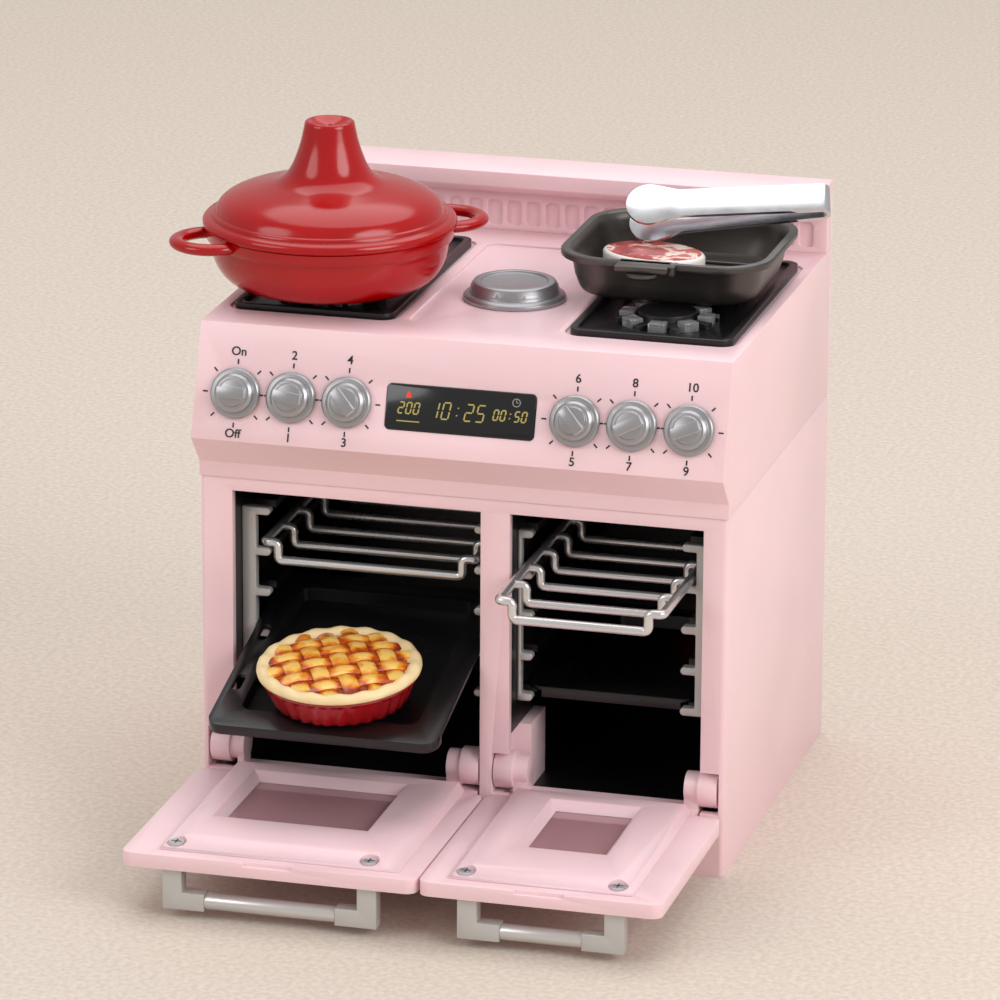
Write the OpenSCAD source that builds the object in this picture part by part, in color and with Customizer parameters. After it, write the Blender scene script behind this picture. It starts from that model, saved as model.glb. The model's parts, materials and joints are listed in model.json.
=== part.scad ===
// Toy oven: a small range cooker with two ovens, two double burners, six dials
// and its play food. Front faces -Y, +X is to the right, the base stands on Z = 0.

/* [Cabinet] */
// Overall width of the cabinet
body_w = 120; // [118:0.5:126]
// Overall depth of the cabinet, with its back cover
body_d = 100; // [96:1:110]
// Height of the lower cabinet shell
shell_h = 82.6; // [82.2:0.2:86]
// Thickness of the pink mouldings
wall = 2.2; // [1.8:0.1:2.6]
// Thickness of the back cover
cover_t = 1.4; // [1:0.1:2]
// Thickness of the base plate
base_t = 1.8; // [1.2:0.1:2.4]
// Radius of the cabinet's front corners
corner_r = 1.2; // [0.6:0.1:2]
// Height of the plinth under the doors
plinth_h = 11.3; // [10.5:0.1:11.3]

/* [Oven openings] */
// Width of the post left of the openings
left_post = 7.4; // [7.1:0.1:7.8]
// Width of the post right of the openings
right_post = 5.6; // [5.3:0.1:5.8]
// Distance of the pillar's middle from the cabinet's middle
pillar_x = 7.6; // [7.2:0.1:8]
// Width of the pillar between the openings
pillar_w = 6.6; // [6.4:0.1:6.8]
// Height of the shell's front above both openings
lintel_h = 3.1; // [2.7:0.1:3.4]
// Thickness of the black oven liners
liner_t = 1; // [0.8:0.1:1.2]
// Depth of the space behind the ovens
rear_space = 16; // [16:0.5:20]

/* [Hob top] */
// Height of the hob's deck
deck_z = 117.5; // [116:0.5:122]
// Height of the band above the doors
band_h = 3.4; // [2.5:0.1:5]
// How far the fascia's lower edge stands forward
fascia_out = 6.3; // [4:0.1:8]
// Height of the fascia's lower edge
fascia_z = 92.8; // [91:0.1:94]
// Height of the crease above the fascia
crease_z = 112.9; // [112:0.1:114]
// How far the deck's front edge lies behind the cabinet's front
deck_back = 1.6; // [1:0.1:3]
// Depth of the shallow recesses in the deck
recess_h = 0.6; // [0.4:0.1:0.9]
// Height of the backsplash above the deck
splash_h = 16.5; // [16:0.5:22]
// Thickness of the backsplash
splash_t = 4; // [3:0.1:5]
// Height of the backsplash's ledge
ledge_h = 3.4; // [2.5:0.1:4.5]
// How far the backsplash's ledge stands forward of its wall
ledge_out = 5; // [3:0.1:7]
// Spacing of the recesses in the backsplash
niche_pitch = 4.6; // [4.2:0.1:6]
// Width of one recess
niche_w = 3.5; // [2.5:0.1:4]
// Height of one recess
niche_h = 6; // [4:0.1:7]

/* [Burners] */
// Width of a burner plate
plate_w = 36.6; // [34:0.2:37.4]
// Depth of a burner plate
plate_d = 69; // [66:0.5:72]
// Distance of a burner plate's centre from the cabinet's side
plate_side = 21.7; // [21.2:0.1:22.2]
// Distance of a burner plate's centre from the cabinet's front
plate_y = 48; // [46:0.5:50]
// Height of a plate's rim above the deck
plate_rim = 1.1; // [0.8:0.1:1.6]
// Distance between the two burners on a plate
burner_gap = 35; // [30:0.5:37]
// Radius of a burner's opening
burner_r = 11.2; // [9:0.1:12]
// Radius of a burner's black cap
burner_cap_r = 6.4; // [5:0.1:7]
// Height of the burner caps above the deck
burner_h = 2.4; // [2:0.1:3.5]
// Number of clear teeth round a burner
burner_teeth = 8; // [6:1:10]
// Radius of the hotplate's foot
hotplate_r = 11.5; // [9:0.1:13]
// Height of the hotplate
hotplate_h = 3.8; // [3:0.1:5]

/* [Dials and display] */
// Spacing of the dials
dial_pitch = 12.7; // [12:0.1:13]
// Radius of a dial's rim
dial_r = 5.6; // [4.5:0.1:5.9]
// Radius of a dial's shaft
shaft_r = 1.5; // [1:0.1:2]
// Clearance round a dial's shaft
shaft_gap = 0.08; // [0.05:0.01:0.1]
// Width of the display window
display_w = 33.6; // [28:0.2:35]
// Height of the display window
display_h = 10; // [8:0.2:11]

/* [Doors] */
// Height of the door hinges' axis
axis_z = 19.1; // [19:0.1:19.4]
// Distance of the door hinges' axis behind the cabinet's front
axis_y = 4; // [3.9:0.1:4.3]
// Thickness of a door's outer panel
panel_t = 3.2; // [2.8:0.1:3.3]
// Distance of a door's free edge from the cabinet's front
door_l = 58.4; // [58:0.1:58.8]
// Gap between the two doors
door_gap = 0.6; // [0.4:0.1:1]
// Where the two doors meet
door_split = 6.3; // [6:0.1:6.6]
// Thickness of a door's inner frame
frame_t = 2.2; // [1.8:0.1:2.3]
// Width of the bevel at an inner frame's front
frame_bevel = 6.4; // [5:0.1:7]
// Radius of a hinge ear
ear_r = 4.3; // [3.8:0.1:4.3]
// Thickness of a hinge ear
ear_t = 4.3; // [3.8:0.1:4.3]
// Radius of a hinge pin
pin_r = 0.9; // [0.7:0.05:1.1]
// Clearance round a hinge pin
pin_gap = 0.05; // [0.03:0.01:0.1]
// Clearance between a moving part and its neighbours
run_gap = 0.4; // [0.3:0.05:0.45]
// Thickness of the clear door windows
pane_t = 1; // [0.8:0.1:1.2]
// Length of the left door's handle
left_handle_w = 48; // [40:0.5:52]
// Length of the right door's handle
right_handle_w = 36.7; // [30:0.5:40]
// How far the handles stand off the doors
handle_out = 9.4; // [7:0.1:9.6]
// Depth of a handle's end brackets
handle_d = 3.6; // [3:0.1:4.5]
// Radius of a handle's bar
bar_r = 1.8; // [1.4:0.1:1.9]

/* [Rails, racks and trays] */
// Height of the lowest pair of pegs
peg_z = 35.1; // [35:0.1:35.4]
// Height of the openings above the highest pegs
peg_head = 6.6; // [6.4:0.1:7]
// Radius of a peg
peg_r = 0.9; // [0.7:0.05:1]
// Reach of the pegs on the cabinet's outer sides
outer_reach = 6.5; // [6.2:0.1:6.6]
// Reach of the pegs beside the pillar
inner_reach = 3.4; // [3:0.1:3.4]
// Distance of the pegs behind the cabinet's front
rail_y = 7; // [6.5:0.1:8]
// Depth of the rails and their pegs
rail_d = 2.4; // [2:0.1:3]
// Radius of a rack's wires
wire_r = 1.1; // [0.9:0.05:1.1]
// Drop of a rack's bars below its side wires
rack_drop = 4.1; // [3.6:0.1:4.2]
// Spacing of a rack's bars
rack_pitch = 12; // [10:0.5:12]
// Number of bars in a rack
rack_bars = 6; // [4:1:6]
// How far the right rack is drawn out of the cabinet
rack_out = 18; // [10:0.5:20]
// Thickness of a tray's sheet
tray_t = 0.8; // [0.6:0.1:1]
// Depth of a tray from front to back
tray_d = 62; // [60:0.5:62]
// Depth of a tray's well
tray_well = 3.2; // [2.5:0.1:3.6]
// Width of a tray's flange
tray_flange = 5.2; // [5:0.1:6]
// Length of the left tray that hangs out in front of its pegs
tray_over = 40.4; // [40:0.1:41]

/* [Food and pans] */
// Radius of the pie's crust
pie_r = 18.2; // [15:0.1:18.4]
// Height of the pie dish
dish_h = 6.6; // [5.6:0.1:6.6]
// Height of the pie's crust above the dish
crust_h = 2.8; // [2.6:0.1:2.9]
// Radius of the pot's rim
pot_r = 27.6; // [24:0.1:28]
// Height of the pot without its lid
pot_h = 13.4; // [12.8:0.1:16]
// Thickness of the pot's and lid's walls
pot_t = 1.4; // [1:0.1:1.8]
// Height of the lid above the pot's rim
lid_h = 23.5; // [21:0.1:25]
// Length of the grill pan
pan_w = 48; // [46:0.5:49]
// Depth of the grill pan
pan_d = 46.5; // [44:0.5:47]
// Height of the grill pan
pan_h = 10; // [8:0.5:11]
// Length of the steak
steak_w = 24.5; // [20:0.5:25]
// Width of the steak
steak_d = 17; // [14:0.5:19]
// Thickness of the steak
steak_h = 3.9; // [3:0.1:4]
// Length of the tongs
tongs_l = 45; // [40:0.5:48]
// Width of the tongs' arms
tongs_w = 7; // [5:0.1:8]

/* [Power] */
// Diameter of a battery cell
cell_d = 10.5; // [10.4:0.1:10.6]
// Length of a battery cell
cell_l = 44.5; // [44:0.1:45]
// Travel of the power switch
switch_travel = 3; // [2:0.1:3]

/* [Hidden] */
$fn = 48;
eps = 0.01;

pink = "#f4c6cf";
black = "#1b1a1c";
silver = "#c3c4c8";
clear = "#b99aa2";

// Cabinet
half_w = body_w / 2;
front = -body_d / 2;
back = body_d / 2 - cover_t;
oven_d = body_d - rear_space;
left_x0 = -half_w + left_post;
left_x1 = pillar_x - pillar_w / 2;
right_x0 = pillar_x + pillar_w / 2;
right_x1 = half_w - right_post;
back_z = deck_z + splash_h;
// Clearance of a fixed part that drops into its place
seat_gap = 0.1;
// Clearance round the oven liners
liner_gap = 0.06;
post_w = 3.4;
side_x = half_w - wall;
web_w = 3.4;
mouth_z = shell_h - lintel_h;
left_mouth = [left_x0, left_x1];
right_mouth = [right_x0, right_x1];
liner_floor_z = plinth_h + 1.6;
// The housings that stand beside the pillar behind the hinge ears
housing_w = 5.4;
housing_y = [9.4, 22];
housing_h = 28;

// Hob
fascia_len = sqrt(pow(crease_z - fascia_z, 2) + pow(fascia_out + 0.1, 2));
fascia_tilt = atan2(fascia_out + 0.1, crease_z - fascia_z);
dial_up = fascia_len / 2;
dial_x = 0.5;
// Distance of each middle dial from the cabinet's side
dial_side = 21.6;
dial_places = [for (side = [-1, 1], i = [0:2])
    dial_x + side * (half_w - dial_side + side * (i - 1) * dial_pitch)];
// How far each dial is turned
dial_turns = [0, -8, -48, -48, 28, 22];
burner_places = [-1, 1];
// Width of the spokes that carry a burner's cap
spoke_w = 1.8;
burner_y = front + plate_y - 0.25;
plate_r = 3;
plate_x = half_w - plate_side;
hotplate_x = 1;
hotplate_y = front + plate_y - 8;
speaker_r = 10;
speaker_h = 3.6;
cook_z = deck_z + burner_h + seat_gap;

// Doors
panel_top = axis_z - axis_y - 0.3;
panel_z = panel_top - panel_t;
frame_z = panel_top + frame_t;
tail_y = 6.2;
shoulder_y = 2.6;
frame_back_y = 2;
frame_front_y = door_l - 3.5;
// Bevel of an inner frame's sides, at its front and at its back
frame_side = 5;
frame_taper = 1.4;
// Skin of an inner frame under its screws' heads
screw_seat = 0.45;
// Each door: outer edges, inner frame's edges, window's edges, ears, handle, screws
left_door = [[-half_w, door_split - door_gap / 2], [left_x0 + 0.4, left_x1 - 2.9],
    [left_x0 + 6.8, left_x1 - 14.7], [left_x0 - 1.2, left_x1 - run_gap], left_handle_w,
    [left_x0 + 3.3, left_x1 - 10.2]];
right_door = [[door_split + door_gap / 2, half_w], [right_x0 + 1.4, right_x1 - 1.4],
    [right_x0 + 11.4, right_x1 - 11.3], [right_x0 + 0.8, right_x1 + 3.7], right_handle_w,
    [right_x0 + 4.7, right_x1 - 5.3]];
// Each window, from its far edge to its near edge in front of the cabinet
window_y = [door_l - 21, 6.6];
window_lip = 2.6;
// Seat of a clear window in its panel, inside the window's edge
pane_edge = 1.4;
ear_gap = 0.5;
knuckle_w = 3.2;
// Skin left over a hinge pin's end, and clearance of its press fit
pin_skin = 0.6;
pin_seat = 0.01;
screw_head_r = 1.7;
screw_r = 1;
bracket_w = 9.3;
bracket_leg = 4.3;
bracket_arm = 3.9;
handle_y = front - door_l + 1.4;
spigot_l = 1;

// Rails, racks and trays
rack_row = 3;
tray_row = 1;
rail_t = 3.2;
rail_in_t = 0.8;
peg_pitch = (mouth_z - peg_head - peg_z) / 4;
peg_top = peg_z + peg_r;
rack_z = peg_top + rack_row * peg_pitch + wire_r + seat_gap;
rack_inset = 4;
rack_bar_r = 0.95;
rack_crank = 2.8;
rack_in_y = 8;
rib_t = 1.6;
rib_back = 4;
tray_z = peg_top + tray_row * peg_pitch + 0.6;
tray_skirt = 1.6;
// Tilt of the left tray, whose back edge rises under the ledges above it
tray_tilt = asin((peg_pitch - 3.75) / (tray_d - tray_over));
left_tray_x = [left_x0 + rail_t + 0.3, left_x1 - 1.2];
right_tray_x = [right_x0 + 1.4, right_x1 - rail_t - 0.4];
// Centre of the pie behind the tray's front edge, and its tilt on the tray's front
pie_y = 16.6;
pie_tilt = 7.5;
pie_foot = pie_r - 3.3;
rail_h = 4 * peg_pitch;

// Pans
pot_place = [-plate_x - 1, front + 31.4];
pot_turn = 37;
pan_place = [plate_x - 2.9, front + plate_y + 5.8];
pan_wall = 1.4;
pan_rim = 2;
ridge_h = 0.7;
pan_lug_x = -2.5;
steak_place = [pan_place[0] - 6.2, pan_place[1] + 1.4];
tongs_place = [pan_place[0] + 30.6, pan_place[1] + 15.7, cook_z + pan_h + 6.7];

// Power
battery_z = 14;
battery_rim = 2;
battery_door_edge = 1;
battery_w = cell_l + 11;
battery_h = 2 * cell_d + 2 * battery_rim + 1.2;
battery_front = back - cell_d - 2.7;
cell_x = battery_rim + 0.25 + cell_l / 2 - battery_w / 2;
// Boss that the battery door's screw bites in
boss_r = 2.4;
boss_x = battery_w / 2 - battery_rim - boss_r - 0.35;
boss_z = battery_z + battery_h / 2;
// Power switch, from its off place, with its plate behind the cover
switch_x = half_w - 22;
switch_z = 40;
switch_plate = 3;
switch_t = 1.2;
switch_wall = 1;

// A box from its corners
module box(a, b) {
    translate(a) cube([b[0] - a[0], b[1] - a[1], b[2] - a[2]]);
}

// A flat rounded rectangle about the origin
module round_rect(w, h, r) {
    square([w - 2 * r, h], center = true);
    square([w, h - 2 * r], center = true);
    for (x = [-1, 1], y = [-1, 1])
        translate([x * (w / 2 - r), y * (h / 2 - r)]) circle(r);
}

// A rounded plate that rests on z
module plate(x, y, z, w, d, h, r) {
    translate([x, y, z]) linear_extrude(h) round_rect(w, d, r);
}

// A rod along X from x0 to x1
module rod_x(x0, x1, y, z, r) {
    translate([x0, y, z]) rotate([0, 90, 0]) cylinder(h = x1 - x0, r = r);
}

// A rod along Y from y0 to y1
module rod_y(x, y0, y1, z, r) {
    translate([x, y0, z]) rotate([-90, 0, 0]) cylinder(h = y1 - y0, r = r);
}

// Puts its children on the fascia: x along it, y up its slope, z out of it
module on_fascia() {
    translate([0, front - fascia_out, fascia_z]) rotate([90 - fascia_tilt, 0, 0]) children();
}

// The space that an ear of a door turns in, open to the front
module ear_space(x0, x1) {
    r = ear_r + ear_gap;
    rod_x(x0, x1, front + axis_y, axis_z, r);
    box([x0, front - 1, axis_z - r], [x1, front + axis_y, axis_z + r]);
}

module shell_outline() {
    intersection() {
        translate([0, body_d / 2]) round_rect(body_w, 2 * body_d, corner_r);
        translate([0, (front + back) / 2]) square([body_w, back - front], center = true);
    }
}

// Cabinet shell: front, sides, pillar, hinge housings and screw posts
module cabinet_shell() {
    color(pink) difference() {
        union() {
            difference() {
                linear_extrude(shell_h) shell_outline();
                box([-side_x, front + wall, -1], [side_x, back + 1, shell_h + 1]);
            }
            box([pillar_x - web_w / 2, front + wall - eps, base_t + seat_gap],
                [pillar_x + web_w / 2, front + 30, shell_h]);
            for (x = [left_x1 - 2.6, right_x0 - 2.8])
                box([x, front + housing_y[0], base_t + seat_gap],
                    [x + housing_w, front + housing_y[1], housing_h]);
            for (side = [-1, 1], p = shell_posts) post(side, p[0], p[1], p[2]);
        }
        for (x = [left_mouth, right_mouth])
            box([x[0], front - 1, plinth_h], [x[1], front + wall + eps, mouth_z]);
        ear_space(left_door[3][0] - ear_t - ear_gap, left_x0 + eps);
        ear_space(right_door[3][0] - ear_t - 0.3, right_x0 + 1);
        ear_space(right_x1 - eps, right_door[3][1] + ear_gap);
        for (x = [[-half_w + pin_skin, -side_x + 1], [side_x - 1, half_w - pin_skin],
                [left_x1 - 1, right_x0 + 1]])
            rod_x(x[0], x[1], front + axis_y, axis_z, pin_r + pin_seat);
        for (side = [-1, 1], z = post_heights)
            rod_y(side * post_x, back - 9, back + 1, z, screw_r - 0.2);
        for (side = [-1, 1], y = base_screw_y)
            translate([side * base_screw_x, y, 0]) cylinder(h = 4.6, r = screw_r - 0.2);
    }
}
post_heights = [base_t + seat_gap + post_w / 2, shell_h - post_w / 2 - 1];
post_x = side_x - post_w / 2;
post_front = front + oven_d + liner_t + 0.4;
// Posts in the cabinet's corners: from, to and height
shell_posts = [[front + wall - eps, front + wall + 6, post_heights[0]],
    [back - 22, back, post_heights[0]], [post_front, back, post_heights[1]]];

// A square post along a side wall
module post(side, y0, y1, z) {
    translate([side * post_x, 0, z])
        box([-post_w / 2 - eps, y0, -post_w / 2], [post_w / 2 + eps, y1, post_w / 2]);
}

// Side view of the hob top, as [depth behind the front, height]
function hob_side(t) = [
    [-0.4 + t, shell_h - (t > 0 ? 1 : 0)],
    [-0.4 + t, shell_h + band_h + 0.4 * t],
    [-fascia_out + 1.05 * t, fascia_z + 0.4 * t],
    [0.1 + 1.05 * t, crease_z - 0.1 * t],
    [deck_back + t, deck_z - t],
    [body_d - cover_t + (t > 0 ? 1 : 0), deck_z - t],
    [body_d - cover_t + (t > 0 ? 1 : 0), shell_h - (t > 0 ? 1 : 0)]];

// Hob top: band, fascia and deck in one moulding
module hob_top() {
    color(pink) difference() {
        union() {
            difference() {
                along_x(half_w) polygon(hob_side(0));
                along_x(side_x) polygon(hob_side(wall));
            }
            for (side = [-1, 1]) post(side, back - 22, back, hob_post_heights[0]);
            translate([hotplate_x, hotplate_y, deck_z - wall - speaker_h]) difference() {
                cylinder(h = speaker_h + eps, r = speaker_r + 1.3);
                translate([0, 0, -1]) cylinder(h = speaker_h + 1, r = speaker_r + seat_gap);
            }
        }
        for (side = [-1, 1])
            plate(side * plate_x, front + plate_y, deck_z - recess_h,
                plate_w + 2.2, plate_d + 2.2, 5, plate_r + 1);
        plate(hotplate_x - 0.5, front + plate_y, deck_z - recess_h + 0.1,
            2 * plate_x - plate_w - 6, plate_d, 5, plate_r);
        for (side = [-1, 1], b = burner_places)
            translate([side * plate_x, burner_y + b * burner_gap / 2, deck_z - 5])
                cylinder(h = 10, r = burner_r);
        translate([hotplate_x, hotplate_y, deck_z - 5]) cylinder(h = 10, r = 3);
        for (x = dial_places)
            on_fascia() translate([x, dial_up, -6]) cylinder(h = 12, r = shaft_r + shaft_gap);
        on_fascia() translate([dial_x, dial_up, -1])
            linear_extrude(3) round_rect(display_w + 0.2, display_h + 0.2, 1.2);
        on_fascia() translate([dial_x, dial_up, -6])
            linear_extrude(12) round_rect(display_w - 4, display_h - 3, 1);
        for (side = [-1, 1], z = hob_post_heights)
            rod_y(side * post_x, back - 9, back + 1, z, screw_r - 0.2);
    }
}
hob_post_heights = [deck_z - wall - post_w];

// Extrudes a side view along X, centred on the cabinet
module along_x(h) {
    translate([-h, front, 0]) rotate([90, 0, 90]) linear_extrude(2 * h) children();
}

// Backsplash: wall with a row of recesses under a ledge
module backsplash() {
    y = body_d - cover_t;
    top = back_z;
    face = y - splash_t;
    count = floor((body_w - 5) / niche_pitch);
    color(pink) difference() {
        along_x(half_w) polygon([
            [face, deck_z + eps], [y, deck_z + eps], [y, top],
            [face - ledge_out, top - 1.6], [face - ledge_out, top - 1.6 - ledge_h],
            [face - ledge_out + 1, top - 2.8 - ledge_h], [face, top - 4.2 - ledge_h]]);
        for (i = [0:count - 1])
            translate([(i - (count - 1) / 2) * niche_pitch, front + face + 0.8,
                deck_z + 1.1 + niche_h / 2])
                rotate([90, 0, 0]) linear_extrude(2) round_rect(niche_w, niche_h, 1.2);
    }
}

// Back cover: one flat plate over the whole back, with the battery door's opening
module back_cover() {
    color(pink) difference() {
        box([-half_w, back, 0], [half_w, body_d / 2, back_z - 0.4]);
        box([-battery_w / 2 + battery_door_edge, back - 1, battery_z + battery_door_edge],
            [battery_w / 2 - battery_door_edge, back + 5,
                battery_z + battery_h - battery_door_edge]);
        for (side = [-1, 1], z = concat(post_heights, hob_post_heights))
            rod_y(side * post_x, back - 1, back + 5, z, screw_r + 0.1);
        box([switch_x - 1.5 - run_gap, back - 1, switch_z - 1.6 - run_gap],
            [switch_x + 1.5 + run_gap + switch_travel, back + 5, switch_z + 1.6 + run_gap]);
    }
}

// Base plate between the cabinet's walls
module base_plate() {
    g = seat_gap;
    color(pink) difference() {
        box([-side_x + g, front + wall + g, 0], [side_x - g, back - g, base_t]);
        for (x = [-1, 1], y = base_screw_y)
            translate([x * base_screw_x, y, -1]) cylinder(h = 5, r = screw_r + 0.1);
        for (x = [-1, 1], y = base_screw_y)
            translate([x * base_screw_x, y, -1]) cylinder(h = 1 + 0.9, r = small_head_r + 0.1);
    }
}
base_screw_x = side_x - post_w / 2 - 0.5;
base_screw_y = [front + wall + 3.4, back - 15];
small_head_r = 1.5;

// A black oven liner with ledges behind the rails' pegs
module liner(mouth, housing_side, reaches) {
    x0 = mouth[0];
    x1 = mouth[1];
    y0 = front + wall + liner_gap;
    y1 = front + oven_d;
    hx = housing_side > 0 ? x1 - 2.6 - liner_gap : x0 - 1;
    hx1 = housing_side > 0 ? x1 + 1 : x0 - 2.8 + housing_w + liner_gap;
    color(black) difference() {
        union() {
            difference() {
                box([x0 - liner_t, y0, liner_floor_z - liner_t],
                    [x1 + liner_t, y1 + liner_t, mouth_z + liner_t]);
                box([x0, y0 - 1, liner_floor_z], [x1, y1, mouth_z]);
            }
            for (i = [0:4], side = [0, 1]) {
                z = peg_z + i * peg_pitch;
                reach = reaches[side] - 0.5;
                xa = side == 0 ? x0 - eps : x1 - reach;
                box([xa, front + rail_y + rail_d + rib_back, z - rib_t / 2],
                    [xa + reach + eps, y1 + eps, z + rib_t / 2]);
            }
        }
        box([x0 - 2, y0 - 1, 0], [x1 + 2, front + 8, liner_floor_z + 1]);
        for (x = [x0 - 2, x1 - ear_clear])
            box([x, y0 - 1, 0], [x + ear_clear + 2, front + 9, axis_z + ear_r + 1]);
        box([hx, y0 - 1, 0], [hx1, front + housing_y[1] + liner_gap, housing_h + liner_gap]);
    }
}
ear_clear = 8.4;

module left_oven_liner() {
    difference() {
        liner(left_mouth, 1, [outer_reach, inner_reach]);
        for (p = left_lamps) rod_y(p[0], front + oven_d - 5, front + oven_d + 5, p[1], 1.6);
    }
}
module right_oven_liner() {
    difference() {
        liner(right_mouth, -1, [inner_reach, outer_reach]);
        for (p = right_lamps) rod_y(p[0], front + oven_d - 5, front + oven_d + 5, p[1], 1.6);
    }
}
left_lamps = [[-32, 58]];
right_lamps = [[32, 62], [32, 54]];

// A rail: a strip with a peg at each height; side +1 points its pegs to +X
module rail(x, side, reach, t) {
    color(silver) {
        translate([x, front + rail_y, 0]) mirror([side < 0 ? 1 : 0, 0, 0]) {
            box([0, 0, peg_z - peg_r], [t, rail_d, peg_z + rail_h + peg_r]);
            for (i = [0:4]) {
                z = peg_z + i * peg_pitch;
                box([0, 0, z - peg_r], [reach - peg_r, rail_d, z + peg_r]);
                translate([reach - peg_r, 0, z]) rotate([-90, 0, 0])
                    cylinder(h = rail_d, r = peg_r);
            }
        }
    }
}
module left_oven_outer_rail() { rail(left_x0, 1, outer_reach, rail_t); }
module left_oven_inner_rail() { rail(left_x1, -1, inner_reach, rail_in_t); }
module right_oven_inner_rail() { rail(right_x0, 1, inner_reach, rail_in_t); }
module right_oven_outer_rail() { rail(right_x1, -1, outer_reach, rail_t); }

// A burner plate with a cap on spokes over each burner
module burner_plate(side) {
    x = side * plate_x;
    y = front + plate_y;
    z0 = deck_z - recess_h;
    color(black) {
        difference() {
            plate(x, y, z0, plate_w, plate_d, plate_rim + recess_h, plate_r);
            plate(x, y, z0 + recess_h + 0.2, plate_w - 3.4, plate_d - 3.4, 5, plate_r - 1);
            for (b = burner_places)
                translate([x, burner_y + b * burner_gap / 2, z0 - 1])
                    cylinder(h = 5, r = burner_r);
        }
        for (b = burner_places) translate([x, burner_y + b * burner_gap / 2, z0]) {
            cylinder(h = recess_h + burner_h, r = burner_cap_r);
            for (i = [0:burner_teeth - 1]) rotate([0, 0, (i + 0.5) * 360 / burner_teeth])
                translate([burner_cap_r - 1, -spoke_w / 2, 0])
                    cube([burner_r - burner_cap_r + 1.4, spoke_w, recess_h + 1.2]);
        }
    }
}
module left_burner_plate() { burner_plate(-1); }
module right_burner_plate() { burner_plate(1); }

// The clear moulding under a plate, whose teeth stand up between the spokes
module burner_lens(side) {
    z0 = deck_z - wall - seat_gap;
    r0 = burner_cap_r + 0.8;
    r1 = burner_r - 0.7;
    half_step = 180 / burner_teeth;
    tooth_w = 2 * (r0 * tan(half_step) - (spoke_w / 2 + seat_gap) / cos(half_step));
    color(clear) translate([side * plate_x, burner_y, 0]) {
        translate([-4, -burner_gap / 2, z0 - 1.4]) cube([8, burner_gap, 1.4]);
        for (b = burner_places) translate([0, b * burner_gap / 2, 0]) {
            translate([0, 0, z0 - 1.4]) cylinder(h = 1.4, r = burner_r + 1.8);
            for (i = [0:burner_teeth - 1]) rotate([0, 0, i * 360 / burner_teeth])
                translate([r0, -tooth_w / 2, z0 - eps])
                    cube([r1 - r0, tooth_w, deck_z - z0 + burner_h - 0.5]);
        }
    }
}
module left_burner_lens() { burner_lens(-1); }
module right_burner_lens() { burner_lens(1); }

// Hotplate between the burners, in steps
module centre_hotplate() {
    z = deck_z - recess_h + 0.1;
    h = hotplate_h + recess_h - 0.1;
    r = hotplate_r;
    color(silver) translate([hotplate_x, hotplate_y, z]) {
        rotate_extrude($fn = 96) polygon([[0, 0], [r, 0], [r, 0.9], [r - 0.6, 1.4],
            [r - 1.4, 1.6], [r - 1.7, h - 1.2], [r - 2.3, h - 0.2], [r - 3, h],
            [r - 3.9, h], [r - 4.2, h - 0.5], [0, h - 0.5]]);
        translate([0, 0, -wall + 0.6]) cylinder(h = wall - 0.6 + eps, r = 2.9);
    }
}

module display_window() {
    color(black) on_fascia() translate([dial_x, dial_up, -1])
        linear_extrude(1.2) round_rect(display_w, display_h, 1.1);
}

// A dial: stepped face, grip bar and a shaft that snaps in behind the fascia
module dial(i) {
    color(silver) on_fascia() translate([dial_places[i], dial_up, 0.2])
        rotate([0, 0, dial_turns[i]]) {
            rotate_extrude($fn = 64) polygon([[0, 0], [dial_r, 0], [dial_r, 0.7],
                [dial_r - 0.4, 1.1], [dial_r - 1.1, 1.1], [dial_r - 1.3, 2],
                [dial_r - 1.9, 2.5], [dial_r - 2.4, 2.5], [dial_r - 2.7, 3], [0, 3]]);
            translate([-3.1, -1.15, 2.9]) cube([6.2, 2.3, 1.7]);
            translate([0, 0, -dial_grip - 0.2]) cylinder(h = dial_grip + 0.3, r = shaft_r);
            translate([0, 0, -dial_grip - 1.2]) cylinder(h = 1, r = shaft_r + 0.9);
        }
}
dial_grip = wall + 0.2;
module dial_1() { dial(0); }
module dial_2() { dial(1); }
module dial_3() { dial(2); }
module dial_4() { dial(3); }
module dial_5() { dial(4); }
module dial_6() { dial(5); }

// Circuit board behind the display, on the fascia's slope
module circuit_board() {
    w = 2 * (half_w - dial_side - dial_pitch - shaft_r - 4.2);
    lit_w = display_w - 4.8;
    lit_h = display_h - 3.6;
    color("#2f7a4a") on_fascia() translate([dial_x, dial_up, -wall - 0.08]) {
        translate([-w / 2, -5.5, -1]) cube([w, 11, 1]);
        translate([-lit_w / 2, -lit_h / 2, -eps]) cube([lit_w, lit_h, wall - 0.96]);
    }
}

// Speaker under the deck
module speaker() {
    color("#3a3a3f") translate([hotplate_x, hotplate_y, deck_z - wall - speaker_h]) {
        cylinder(h = speaker_h - 0.05, r = speaker_r);
        translate([0, 0, -2.4]) cylinder(h = 2.4 + eps, r = speaker_r - 4);
    }
}

// Red lamps in the back walls of the ovens
module oven_lamps() {
    color("#d8262b") for (p = concat(left_lamps, right_lamps)) {
        rod_y(p[0], front + oven_d - 0.8, front + oven_d + liner_t, p[1], 1.5);
        rod_y(p[0], front + oven_d + liner_t + 0.05, front + oven_d + 3, p[1], 2);
        rod_y(p[0], front + oven_d + liner_t - eps, front + oven_d + 1.1, p[1], 1.5);
    }
}

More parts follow.
